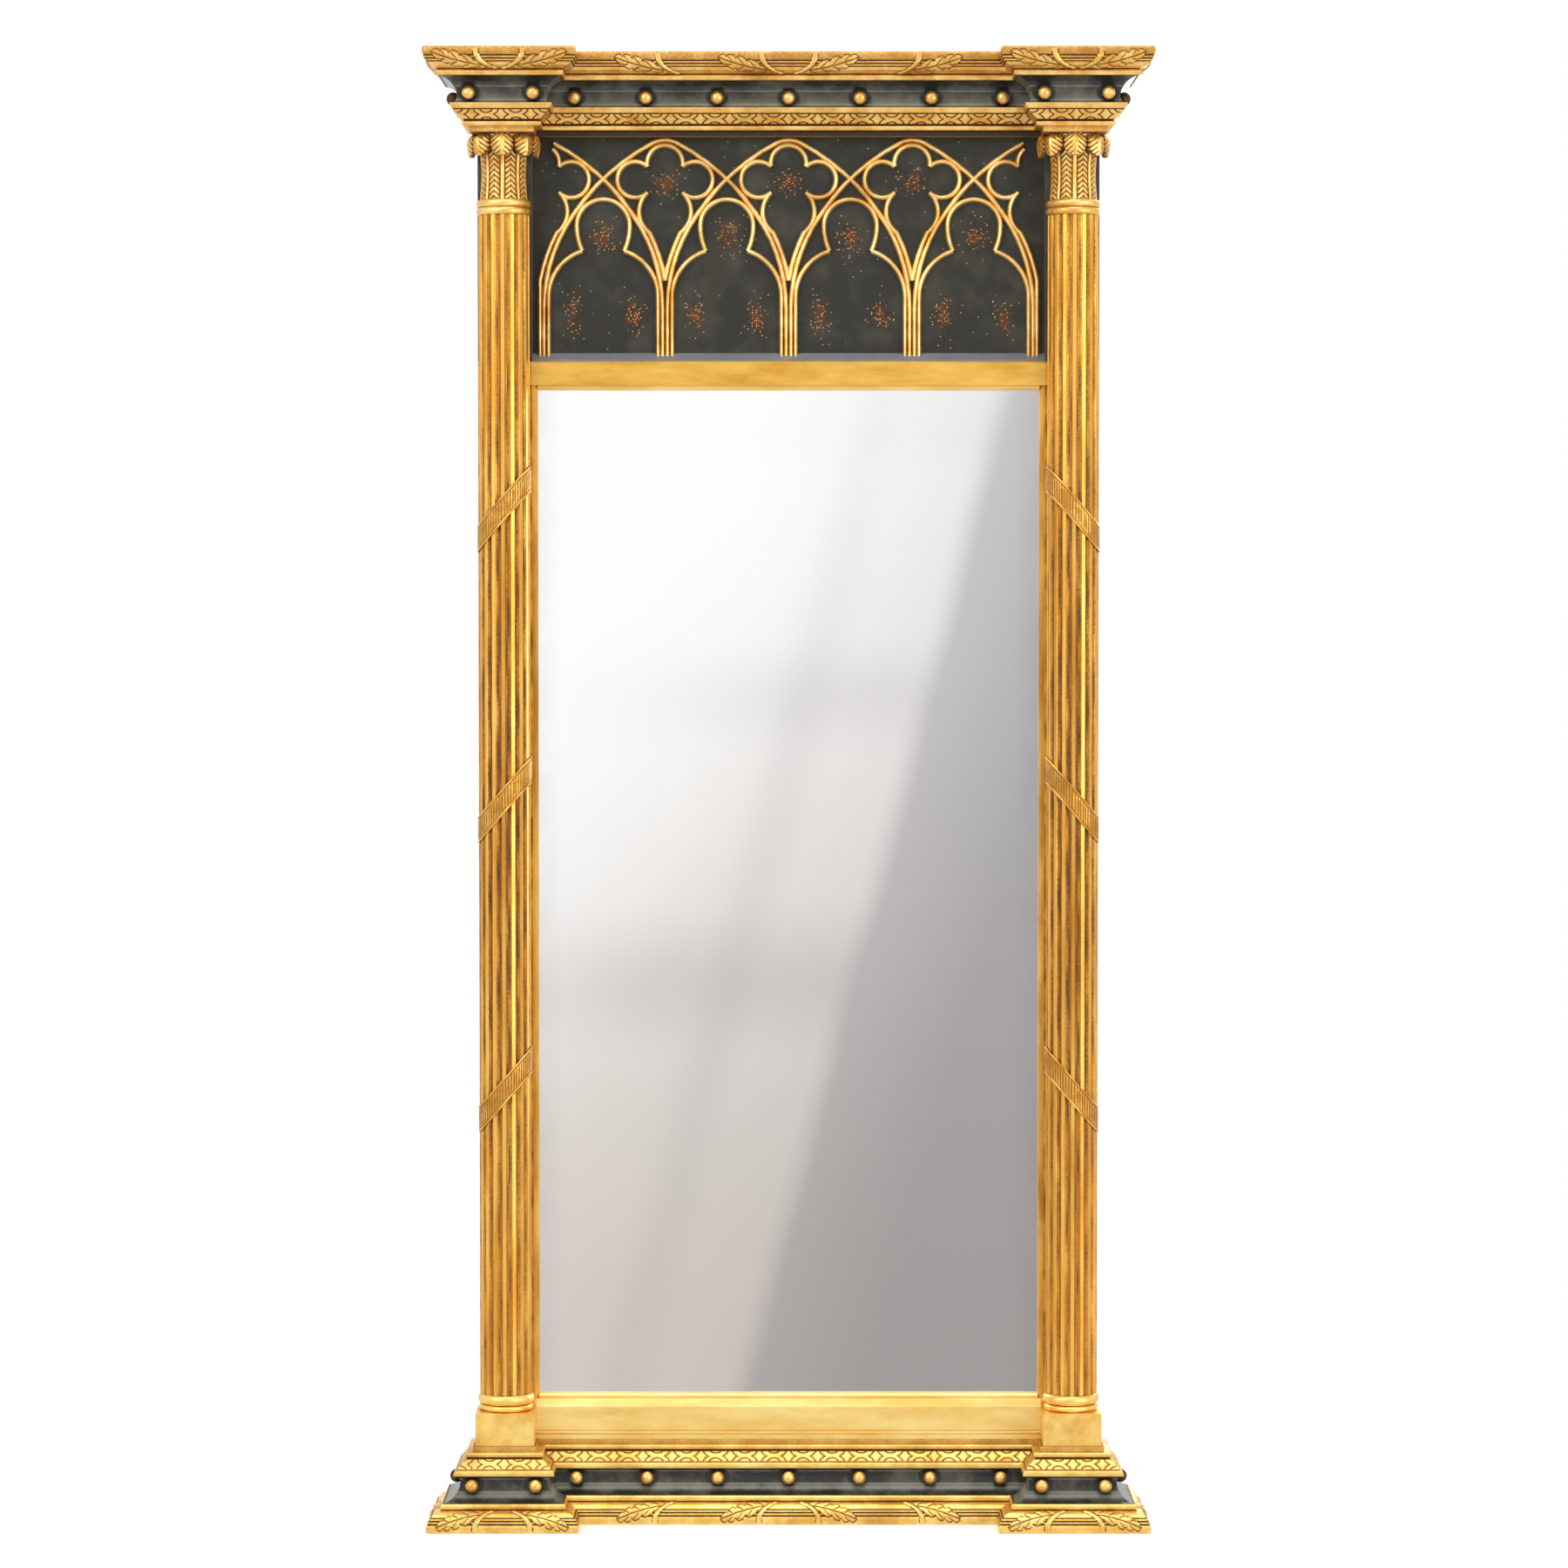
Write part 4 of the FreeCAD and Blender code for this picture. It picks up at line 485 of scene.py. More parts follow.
def around(side, radius, turn):
    """x and y of points at a radius from a column's axis, turned from its front."""
    return side * COLUMN_X + radius * np.sin(turn), WALL - COLUMN_FRONT - radius * np.cos(turn)


def turned(side, *rolls):
    """A turning about the column's axis: each height has one radius, and the circle is cut by the flat of the stile."""
    heights, radii, recess = (np.concatenate(parts)[:, None] for parts in zip(*rolls))
    turn = np.arccos(np.clip(-BACK_FLAT / radii, -1, 1)) * np.linspace(-1, 1, 73)
    return shell(*around(side, radii, turn), heights, recess)


def roll(low, high, inner, outer):
    """Half-round roll between two heights: radius swells from inner to outer as a half ellipse. Recess is painted
    shade, highest at both ends, where the roll turns in.
    """
    turn = np.linspace(-np.pi / 2, np.pi / 2, 15)
    heights = (low + high) / 2 + (high - low) / 2 * np.sin(turn)
    swell = np.cos(turn)
    return heights, inner + (outer - inner) * swell, np.clip(0.9 - 1.6 * swell, 0, 1)


column_gilding = water_gilding("column_gilding", "#f1bc58", "#cf8f2c", "#9a6219", run=(1, 1, 0.16))
# Painted light: a paler copy of the gilding brightens the base mouldings, the plinths and the base rolls.
base_gilding_painted_light = water_gilding("base_gilding_painted_light", "#fcd780", "#ecb854", "#c48a2e")
dress(base_gilding_painted_light, *(hand + "_plinth" for hand in SIDES))
turnings = [turned(side, roll(PLINTH_TOP, ROLL_TOP, 21.2, 24.2), roll(ROLL_TOP, SHAFT_FOOT, 21.0, 25.0))
            for side in SIDES.values()]
piece("column_base_rolls", turnings, base_gilding_painted_light, ["column_bases"])


# Column shafts: turned pine with sixteen flutes to the full circle from end to end, and a fillet facing the front.
# The gold has run thin and orange on the fillets and gone brown and grey in streaks down the flutes, with painted
# shade in the flutes and painted light on the fillets towards both ends.
SHAFT_HEAD = 1158.5
SHAFT_RADIUS = 22.4
FLUTES = 16


def shaft(side):
    """Radius is the shaft's less the depth of a ball of 3.1 mm run along each flute, 1.3 mm outside the surface: its
    depth is sqrt(3.1^2 - d^2) - 1.3, d the distance from the middle of the flute. Dirt and painted shade fill the
    flutes unevenly, most at mid-height, and the fillets are painted lighter towards both ends, by the square of a
    sine of the height."""
    ball, out = 3.1, 1.3
    half = math.sqrt(ball ** 2 - out ** 2)
    centres = np.radians(np.arange(-4.5, 5) * 360 / FLUTES)
    across = np.array([-1.0, -0.97, -0.85, -0.62, -0.32, 0, 0.32, 0.62, 0.85, 0.97, 1.0])
    back = math.acos(-BACK_FLAT / SHAFT_RADIUS)
    turn = np.concatenate([[-back], (centres[:, None] + across * half / SHAFT_RADIUS).ravel(), [back]])
    nearest = np.abs(turn[:, None] - centres).min(axis=1) * SHAFT_RADIUS
    depth = np.maximum(ball * dome(nearest / ball) - out, 0)
    heights = np.linspace(SHAFT_FOOT, SHAFT_HEAD, 120)[:, None]
    radius = SHAFT_RADIUS - depth
    uneven = 0.72 + 0.25 * np.sin(heights / 37 + 2.1 * np.round(turn / 0.39)) * np.sin(heights / 11 + turn * 3)
    low = (SHAFT_HEAD - heights) / (SHAFT_HEAD - SHAFT_FOOT)
    middle = np.sin(np.pi * low) ** 2
    dirt_and_shade = uneven * (0.75 + 0.35 * middle) * (depth / (ball - out)) ** 0.6
    # Painted shade with dirt in the flutes; painted light on the fillets, brighter towards both ends.
    return shell(*around(side, radius, turn), heights, np.where(depth > 0, dirt_and_shade, 0.85 * middle - 0.6))


for hand, side in SIDES.items():
    piece(hand + "_fluted_shaft", [shaft(side)], column_gilding, [hand + "_column_shaft"])


# Ribbons: three gilt composition bands wound aslant over each shaft, stretched from fillet to fillet.
# Each has a raised bead along both edges and fine upright pleats between them.
def ribbon(side, middle):
    """A band on the shaft: height follows the slant of a plane, side * 55/49 of x, plus the width; its face stands
    1 mm off, with edge beads (two narrow bumps across the width) and pleats (a cosine every 2.4 mm round it)."""
    half, bead_line, inner_half, pleat_pitch, slant = 12.0, 10.6, 9.3, 2.4, 55 / 49
    width = np.linspace(-half, half, 41)
    turn = np.linspace(-1, 1, 141)[:, None] * math.acos(-BACK_FLAT / (SHAFT_RADIUS + 1.2))
    arc_length = turn * SHAFT_RADIUS
    bead = ridge(np.abs(width) - bead_line, 0.9)
    pleat = 0.5 + 0.5 * np.cos(2 * np.pi * arc_length / pleat_pitch)
    inner = np.clip(1 - (np.abs(width) / inner_half) ** 8, 0, 1)
    stand = 1.0 + 0.8 * bead + 0.45 * inner * pleat
    radius = SHAFT_RADIUS + np.concatenate([stand, np.full(stand.shape, 0.15)], axis=1)
    across = np.concatenate([width, width[::-1]])
    z = SHAFT_FOOT + middle + across - side * slant * radius * np.sin(turn)
    # Painted shade: recess darkens the valleys between pleats, the inner edge of each bead and the back.
    recess = np.clip(0.75 * inner * (1 - pleat) + 0.8 * ridge(np.abs(width) - 9, 0.5), 0, 1)
    recess = np.concatenate([recess, np.full(recess.shape, 0.8)], axis=1)
    return shell(*around(side, radius, turn), z, recess)


ribbon_gilding = water_gilding("ribbon_gilding", "#e8b658", "#c88a2c", "#96601d")
for hand, side in SIDES.items():
    piece(hand + "_ribbon_bands", [ribbon(side, middle) for middle in (786, 528.5, 271)], ribbon_gilding,
          [hand + "_ribbons"])


# Neckings: two turned rings with a groove between them darkened by painted shade, glued over the head of each shaft.
# They hide the joint between the shaft and its capital.
CAPITAL_FOOT = 1172.0
GROOVE = 1165.3
rings = [turned(side, roll(SHAFT_HEAD, GROOVE, 21.6, 24.0), roll(GROOVE, CAPITAL_FOOT, 21.6, 24.0))
         for side in SIDES.values()]
piece("necking_rings", rings, carved_gilding, ["neckings"])


# Capitals: a hollow bell carved with upright stems and columns of fern between them, and five leaves that roll over
# under the cornice and hang down. Each has a bright midrib and slanting lobes parted by cuts darkened with painted
# shade; painted shade also darkens the ground of the bell and the backs of the leaves.
CAPITAL_HEIGHT = 58.0


def bell(side):
    """Radius of the hollow bell plus the carving: stems are half-rounds every 45 degrees; ferns between them are
    chevrons, a cosine of height plus 0.8 of the distance from the fern's line, 4.7 mm apart, fading at its edges."""
    up = np.linspace(0, CAPITAL_HEIGHT, 118)[:, None]
    share = up / CAPITAL_HEIGHT
    plain = 20.4 + 2.6 * share - 2.6 * np.sin(np.pi * share)
    mean_radius, reach = 20.0, math.acos(-BACK_FLAT / 21.0)
    turn = np.linspace(-reach, reach, 221)
    arc_length = turn * mean_radius
    pitch = np.pi / 4 * mean_radius
    from_stem = np.abs((arc_length + pitch / 2) % pitch - pitch / 2)
    from_fern = np.abs(arc_length % pitch - pitch / 2)
    stem = 1.3 * dome(from_stem / 2.0)
    fade = dome(from_fern / 5.6)
    chevron = (0.5 + 0.5 * np.cos(2 * np.pi * (up + 0.8 * from_fern) / 4.7)) ** 0.8
    vein = ridge(from_fern, 0.5)
    fern = fade * (0.35 + 1.15 * chevron - 0.4 * vein)
    carving = np.maximum(stem, fern)
    radius = plain - 0.6 + carving
    # Painted shade: recess darkens the bell's ground between the carving.
    return shell(*around(side, radius, turn), CAPITAL_FOOT + up, np.clip(1.05 - 0.95 * carving, 0, 1))


def leaf(side, angle):
    """A midrib goes up the bell, over half a turn of 5.4 mm and 12.5 mm down in front. Half the blade's width is part
    of an ellipse at the tip, 10.2 mm where it hangs, less towards the root, and nicked between lobes. It bends
    back by 5 mm at its edges, with a ridge down the middle; grooves 4.6 mm apart slant down and outwards from that."""
    straight, crook, hang, widest, pitch = 10.0, 5.4, 12.5, 10.2, 4.6
    whole = straight + crook * math.pi + hang
    from_tip = 0.2 + (whole - 0.2) * (1 - np.sin(np.linspace(0, np.pi / 2, 72)))[:, None]
    way = whole - from_tip
    turn = np.clip((way - straight) / crook, 0, np.pi)
    below = np.clip(way - straight - crook * np.pi, 0, None)
    out = 18.6 + crook * (1 - np.cos(turn)) - 0.012 * below ** 2
    up = 40.0 + np.minimum(way, straight) + crook * np.sin(turn) - below
    narrowing = 1 - 0.4 * np.clip((from_tip - 14) / 25, 0, 1)
    half = widest * dome(1 - np.minimum(from_tip / 10, 1)) * narrowing
    edge = (from_tip + 0.75 * half) / pitch
    half = half * (1 - 0.14 * ridge(edge - np.round(edge), 0.15))
    across = np.linspace(-1, 1, 61)
    lobe = (from_tip + 0.75 * np.abs(across) * half) / pitch
    groove = ridge(lobe - np.round(lobe), 0.17) * np.clip(4 * np.abs(across) - 0.35, 0, 1)
    bend = (across * half / widest) ** 2
    face = 2.3 - 5 * bend - 0.8 * groove + 0.7 * ridge(across * half, 0.9)
    lift = np.concatenate([face, -0.9 - 4 * bend[:, ::-1]], axis=1)
    aside = half * np.concatenate([across, across[::-1]])
    ahead = out - lift * np.cos(turn)
    spin = math.radians(angle)
    x = side * COLUMN_X + aside * math.cos(spin) + ahead * math.sin(spin)
    y = WALL - COLUMN_FRONT + aside * math.sin(spin) - ahead * math.cos(spin)
    z = CAPITAL_FOOT + up + lift * np.sin(turn)
    # Painted shade: recess darkens the cuts, the outer edges and the back of each leaf.
    recess = np.concatenate([np.clip(0.85 * groove + 0.5 * across ** 8, 0, 1), np.full(face.shape, 0.85)], axis=1)
    return shell(x, y, z, recess)


for hand, side in SIDES.items():
    piece(hand + "_leaf_capital", [bell(side)] + [leaf(side, angle) for angle in (-90, -45, 0, 45, 90)],
          carved_gilding, [hand + "_capital"], crease=60)


# Mouldings of base and cornice: three layers run in pine, mitred round each corner block and glued on.
# The crown is reeded, with leaf sprays carved over the reeds, the cove is ebonised, the band carries a lattice.
BLOCK_INSIDE = 224.5
BLOCK_OUTSIDE = 278.5
FRAME_FRONT = 26.0
BLOCK_FRONT = 66.0
OVERALL_HEIGHT = 1300.0
CROWN_TOP = 24.0
COVE_TOP = 46.5
BAND_TOP = 70.0


def along_curve(points, step):
    """The same polyline with points a step apart, corners kept: each run is divided evenly."""
    rows = [points[:1]]
    for first, last in zip(points, points[1:]):
        count = max(1, round(float(np.hypot(*(last - first))) / step))
        rows.append(first + (last - first) * (np.arange(1, count + 1) / count)[:, None])
    return np.concatenate(rows)


def between(corners, projection, share):
    """Plan of points that stand out from the route along its mitres, at shares of the way between two corners."""
    near, far = (point + projection[..., None] * mitre for point, mitre in corners)
    return near + share * (far - near)


def moulding(route, outline, core, carve, place):
    """A profile carried round a block or along the centre. Each corner of the route is a point and a mitre direction;
    a profile point stands at corner + projection * mitre, and between corners the skin runs straight. The carving
    moves profile points along their outward normals before they are placed."""
    slope = np.gradient(outline, axis=0)
    slope /= np.hypot(slope[:, 0], slope[:, 1])[:, None]
    length = np.concatenate([[0], np.cumsum(np.hypot(*np.diff(outline, axis=0).T))])
    plans, heights, shades, step = [], [], [], 0.6
    for number, corners in enumerate(zip(route, route[1:])):
        corners = np.array(corners, float)
        start, end = corners[:, 0]
        distance = np.hypot(*(end - start))
        count = math.ceil(distance / step) + 40
        share = np.linspace(0, 1, count + 1)[1 if number else 0:, None, None]
        along = (between(corners, outline[:, 0], share) - (start + end) / 2) @ (end - start) / distance
        lift, shade = carve(number, along, length)
        front = between(corners, outline[:, 0] + lift * slope[:, 1], share)
        plans.append(np.concatenate([front, between(corners, core[:, 0], share)], axis=1))
        behind = np.broadcast_to(core[:, 1], (len(share), len(core)))
        heights.append(np.concatenate([outline[:, 1] - lift * slope[:, 0], behind], axis=1))
        shades.append(np.pad(shade, ((0, 0), (0, len(core))), constant_values=0.9))
    plan, height = np.concatenate(plans), np.concatenate(heights)
    return shell(plan[..., 0], WALL - plan[..., 1], height if place == "base" else OVERALL_HEIGHT - height,
                 np.concatenate(shades))


def routes():
    """Plan of each length: two returns and a front round a block, or one straight run between the blocks."""
    plans = {"centre": [((-BLOCK_INSIDE, FRAME_FRONT), (1, 1)), ((BLOCK_INSIDE, FRAME_FRONT), (-1, 1))]}
    for hand, side in SIDES.items():
        outside, inside = side * BLOCK_OUTSIDE, side * BLOCK_INSIDE
        plans[hand] = [((outside, 0), (side, 0)), ((outside, BLOCK_FRONT), (side, 1)),
                       ((inside, BLOCK_FRONT), (-side, 1)), ((inside, FRAME_FRONT), (-side, 1))]
    return plans


REED_EDGES = (0.0, 8.0, 10.9, 13.9, 23.5)


def spray(away, length):
    """Height and painted shade of one leaf spray, away mm from where its stem starts at the foot of the crown and
    length mm down from the lip. The midrib falls from length 18.6 at its root to 5.4 at its tip as a power of away;
    lobes 12 mm apart sweep from it towards the tip, and cuts darkened by painted shade part them. A smooth stem
    curves up over the root of the leaf. Painted shade also runs down the midrib and outlines the blade and the
    stem, and their faces are painted a little lighter."""
    share = np.clip((away - 6) / 58, 0, 1)
    midrib = 18.6 - 13.2 * np.clip((away - 4) / 59, 0, 1.2) ** 1.4
    off = length - midrib
    half = np.where(off > 0, 8.4 * np.sin(np.pi * share ** 0.85) ** 0.5, 7.6 * np.sin(np.pi * share ** 1.1) ** 0.5)
    lobe_pitch, sweep = 12, 1.4
    edge = (away - sweep * half) / lobe_pitch
    half = half * (1 - 0.36 * ridge(edge - np.round(edge), 0.16)) + 0.01
    lobe = (away - sweep * np.abs(off)) / lobe_pitch
    cut = ridge(lobe - np.round(lobe), 0.095) * np.clip(np.abs(off) / 1.5 - 0.3, 0, 1)
    vein = ridge(off, 0.7)
    reach = np.abs(off) / half
    on_leaf = (share > 0) & (share < 1)
    inside = on_leaf & (reach < 1)
    tongue = dome(2 * (lobe - np.floor(lobe)) - 1)
    blade = 0.5 + 0.6 * dome(reach) + 0.6 * tongue - 0.5 * vein
    rim = ridge(np.abs(off) - half, 0.75) * on_leaf
    shade = np.maximum(np.where(inside, 1.25 * np.maximum(cut, vein) - 0.15, 0), rim)
    foot, climb, curl = 19, 18.7, 2.2
    rise = np.clip((length - 3) / climb, 0, 1)
    lean = np.hypot(1, foot * curl / climb * rise ** (curl - 1))
    beside = np.abs(away - foot * (1 - rise ** curl)) / lean
    stem_half = 2.9 - 1.4 * rise
    crossing = (length > 2) & (length < 22.5)
    on_stem = (beside < stem_half) & crossing
    stem = 1.8 * dome(beside / stem_half) + 0.3
    stem_rim = 1.1 * ridge(beside - stem_half - 0.2, 0.65) * crossing
    return np.where(on_stem, stem, np.where(inside, blade, 0)), np.where(on_stem, -0.1, np.maximum(shade, stem_rim))


def crown_carving(sprays, stretch, lip_shade):
    """Reeds are half-rounds across the profile, parted by lines of painted shade, the one at the lip rubbed browner;
    sprays lie over them, no higher than the lip and stretched along the run; the bead stays plain between quirks
    darkened by painted shade."""
    def carve(number, along, length):
        lift, shade = np.zeros(along.shape), np.zeros(along.shape) + lip_shade * (length < REED_EDGES[1])
        for low, high in zip(REED_EDGES, REED_EDGES[1:]):
            off = (2 * length - low - high) / (high - low)
            inside = np.broadcast_to((length >= low) & (length < high), along.shape)
            lift = np.where(inside, 1.3 * (dome(off) - 1), lift)
        for line in REED_EDGES[1:-1]:
            shade = np.maximum(shade, 1.35 * ridge(length - line, 0.75))
        highest = np.clip(length - 3.5, 0, 7) ** 2 / 30
        for root, direction in sprays[number]:
            height, leaf_shade = spray((along - root) * direction / stretch, length)
            lift = np.where(height > 0, np.minimum(height - 0.9, highest), lift)
            shade = np.where(height > 0, leaf_shade, np.maximum(shade, leaf_shade))
        quirk = 1.3 * ridge(length - 25.0, 1.2) + ridge(length - 34.0, 0.8)
        return lift, np.maximum(shade, np.broadcast_to(quirk, shade.shape))
    return carve


BALL_LENGTH = 20.4
BALL_PITCH = 63.0
BLOCK_BALL = 28.0


def cove_carving(balls, dusty):
    """Two low arrises run along the cove, 13.8 and 25.8 mm down its profile, each with a pale line of painted sheen;
    painted shade makes the wax blackest in a ring round each ball, and dust stands in a second ring outside it, on
    the part that faces up and on a block's inner return."""
    def carve(number, along, length):
        # Painted sheen: a pale line along each arris.
        arris = ridge(length - 13.8, 0.8) + ridge(length - 25.8, 0.9)
        shade = np.zeros(along.shape) + 0.35 * arris + 0.35 * dusty(length) + 0.3 * (number == 2)
        for ball in balls[number]:
            away = np.hypot(along - ball, length - BALL_LENGTH)
            # Painted shade: the wax goes black in a ring round each ball.
            shade = shade + 0.06 * ridge(away - 11, 2) - 0.8 * np.exp(-(away / 8.5) ** 4)
        return np.broadcast_to(0.4 * arris, along.shape), shade
    return carve


LATTICE_PITCH = 26.0


def band_carving(line_shade, step_shade):
    """The slope of the band is gilt all over and cut with lines darkened by painted shade. Diamonds stand a pitch
    apart:
    half their width is 2.2 mm at both edges and grows to 6.6 mm in the middle as a power of 2.4, so that their sides
    are hollow. The X between two diamonds is notched by half an ellipse at each edge, larger at the cove. The plain
    step beyond the bead takes a painted shade of its own."""
    low, high, edge_half, growth, power, line = 6.2, 18.65, 2.2, 4.4, 2.4, 0.6

    def carve(number, along, length):
        half = (high - low) / 2
        across = length - (low + high) / 2
        step = np.abs((along + LATTICE_PITCH / 2) % LATTICE_PITCH - LATTICE_PITCH / 2)
        inward = np.clip(1 - np.abs(across) / half, 0, 1)
        lean = growth * power * inward ** (power - 1) / half
        beside = (step - edge_half - growth * inward ** power) / np.hypot(1, lean)
        lines = ridge(beside, line)
        for depth, wide, tall in ((half + across, 5.4, 4.2), (half - across, 4.4, 3.0)):
            away = np.hypot((LATTICE_PITCH / 2 - step) / wide, depth / tall)
            lines = np.maximum(lines, ridge((away - 1) * tall, line))
        lines = np.where(np.abs(across) < half, lines, 0)
        quirk = ridge(length - low, 0.7) + 1.2 * ridge(length - high, 0.9)
        cut = np.maximum(lines, quirk)
        return -0.6 * cut, np.maximum(line_shade * cut, step_shade * (length > 25))
    return carve


def profiles():
    """Outlines of the layers from the floor up, (projection, height), and the points that close each at the back."""
    lip, bead, fillet = (40, 3.5), (26, 18), (6.2, 60.8)
    brow, throat, nose = (25, CROWN_TOP), (11.5, 41), (16.8, COVE_TOP)
    edge = np.concatenate([[[40, 0], lip], bow(lip, (28.5, 18), 15, 1)[1:], [bead],
                           bow(bead, (26, CROWN_TOP), 3.1, 1)[1:]])
    above, below = (upright_radius(*np.abs(np.subtract(end, throat))) for end in (brow, nose))
    hollow = np.concatenate([bow(brow, throat, above, -1), bow(throat, nose, below, -1)[1:]])
    lattice = np.concatenate([bow((17.5, COVE_TOP), (14.8, 51.8), 6, 1), [fillet],
                              bow(fillet, (6.2, 65.5), 2.6, 1)[1:], [[1.2, 65.5], [1.2, BAND_TOP]]])
    return {"crown": (along_curve(edge, 0.55), np.array([[0, CROWN_TOP], [0, 0]])),
            "cove": (along_curve(hollow, 0.6), np.array([[0, COVE_TOP], [0, CROWN_TOP]])),
            "band": (along_curve(lattice, 0.55), np.array([[0, BAND_TOP], [0, COVE_TOP]]))}


spray_roots = {"base": (12, 104, 10), "cornice": (7, 98, 4)}
stretches = {"base": 0.76, "cornice": 0.86}
centre_balls = [BALL_PITCH * np.arange(-3, 4)]
block_balls = [[0], [-BLOCK_BALL, BLOCK_BALL], []]
lip_shades = {"base": 0.12, "cornice": 0.4}
faces_up = {"base": lambda length: ridge(length - 10.5, 3.2),
            "cornice": lambda length: np.clip((length - 15) / 11, 0, 1)}
line_shades = {"base": 0.9, "cornice": 1.25}
# Painted shade: a darker copy of the base gilding tones down the upward-facing base band.
painted_shade_band_gilding = water_gilding("base_band_gilding", "#ebc674", "#d6a750", "#b58230")
gildings = {"base": {"crown": base_gilding_painted_light, "cove": black_wax, "band": painted_shade_band_gilding},
            "cornice": {"crown": carved_gilding, "cove": black_wax, "band": carved_gilding}}
for place, finishes in gildings.items():
    inner, outer, on_block = spray_roots[place]
    centre_sprays = [[(inner, 1), (-inner, -1), (outer, 1), (-outer, -1)]]
    block_sprays = [[(40, -1)], [(on_block, 1), (-on_block, -1)], []]
    for hand, route in routes().items():
        sprays = centre_sprays if hand == "centre" else block_sprays
        # Painted shade: the plain step under the cornice's centre run goes near black.
        step_shade = 2.0 if (place, hand) == ("cornice", "centre") else 0.25
        carves = {"crown": crown_carving(sprays, stretches[place], lip_shades[place]),
                  "cove": cove_carving(centre_balls if hand == "centre" else block_balls, faces_up[place]),
                  "band": band_carving(line_shades[place], step_shade)}
        for layer, (outline, core) in profiles().items():
            piece("%s_%s_%s_run" % (place, layer, hand), [moulding(route, outline, core, carves[layer], place)],
                  finishes[layer], ["%s_%s_%s" % (place, layer, hand)], crease=60)


# Balls: turned and gilt, sprigged into the coves, each with painted shade on its rim and in the black round it.
# Those on the outer sides are painted brown-black, as painted shade.
def ball(x, front, z, ball_shade):
    """A sphere of 5.9 mm; recess, painted shade, starts from the given shade and grows round its rim, towards where it
    meets the cove.
    """
    radius = 5.9
    rise = np.linspace(-np.pi / 2 + 0.06, np.pi / 2 - 0.06, 15)[:, None]
    turn = np.linspace(0, 2 * np.pi, 28, endpoint=False)
    inward = np.cos(rise) * np.sin(turn)
    return shell(x + radius * np.cos(rise) * np.cos(turn), WALL - front + radius * inward, z + radius * np.sin(rise),
                 ball_shade + np.clip((inward + 0.55) * 2, 0, 1.1))


BALL_OUT = 17.9
BALL_UP = 38.0
for place in ("base", "cornice"):
    height = BALL_UP if place == "base" else OVERALL_HEIGHT - BALL_UP
    spots = [(BALL_PITCH * step, FRAME_FRONT + BALL_OUT, 0) for step in range(-3, 4)]
    spots += [(side * COLUMN_X + half * BLOCK_BALL, BLOCK_FRONT + BALL_OUT, 0) for side in SIDES.values()
              for half in (-1, 1)]
    # Painted shade: the balls on the outer sides are painted brown-black.
    spots += [(side * (BLOCK_OUTSIDE + BALL_OUT), BLOCK_FRONT / 2, 1.0) for side in SIDES.values()]
    piece(place + "_gilt_balls", [ball(x, front, height, ball_shade) for x, front, ball_shade in spots], carved_gilding,
          [place + "_balls"])


# Hangers: stamped steel straps screwed into pockets behind the stiles, each with a bent wire ring in its eye.
# The steel is dull and brown-grey, with spots of rust.
def dull_steel():
    """Mild steel, rolled and left bare: grey metal, rust in spots of about 4 mm."""
    material, add, shader, place = new_finish("dull_mild_steel")
    rust = add("TexNoise", {"Vector": place, "Scale": 1000 / 4, "Detail": 6.0})
    spots = add("MapRange", {0: rust, 1: 0.5, 2: 0.68})
    colour = add("Mix", {0: spots, 6: "#8b8881", 7: "#6b4a33"})
    metal = add("MapRange", {0: spots, 3: 1.0, 4: 0.1})
    rough = add("MapRange", {0: spots, 3: 0.36, 4: 0.75})
    plug(shader, {"Base Color": colour, "Metallic": metal, "Roughness": rough})
    return material


def wire_ring(side):
    """A round wire of 1.9 mm carried along a loop of straight runs joined by arcs; each outline is a circle square to
    the loop."""
    half, length, shoulder, bow_radius, wire = 12.5, 23.5, 4.0, 11.0, 1.9
    axis_height, axis_depth = 1010.0, 4.0
    right = np.concatenate([[[0, 0], [half - shoulder, 0]], arc((half - shoulder, -shoulder), shoulder, 90, 0)[1:],
                            [[half, -12]], arc((half - bow_radius, bow_radius - length), bow_radius, 0, -90)])
    path = np.concatenate([right, mirrored(right)[::-1][:-1]])
    turn = np.linspace(0, 2 * np.pi, 16, endpoint=False)
    x, up = set_off(path, np.roll(path, -1, axis=0) - np.roll(path, 1, axis=0), wire * np.cos(turn))
    return shell(side * COLUMN_X + x, WALL - axis_depth + wire * np.sin(turn), axis_height + up, loop=True)


steel = dull_steel()
dress(steel, "hanger_straps", "hanger_screws")
for hand, side in SIDES.items():
    piece(hand + "_wire_ring", [wire_ring(side)], steel, [hand + "_hanger_ring"], hand + "_ring")


# Stage: a pale floor, a white room, soft lamps, and a piece of wall behind the camera that the plate reflects.
# The camera stands in front, a little above the middle of the mirror.
def stage_sheet(name, corners, material):
    """A flat sheet of the stage from its corners, in metres."""
    mesh = bpy.data.meshes.new(name)
    mesh.from_pydata(corners, [], [list(range(len(corners)))])
    mesh.materials.append(material)
    item = new_object(name, mesh)
    return item


def pale_floor():
    """White paint that takes shadows, lifted for the camera alone so that it meets the white room without a line."""
    material, add, shader, place = new_finish("pale_floor")
    mottle = add("TexNoise", {"Vector": place, "Scale": 4.0, "Detail": 3.0})
    colour = add("Mix", {0: mottle, 6: "#f6f6f5", 7: "#f1f1f0"})
    seen = add("LightPath").node.outputs["Is Camera Ray"]
    lift = add("MULTIPLY", {0: seen, 1: 0.2})
    plug(shader, {"Base Color": colour, "Roughness": 0.9, "Emission Color": (1, 1, 1, 1), "Emission Strength": lift})
    return material


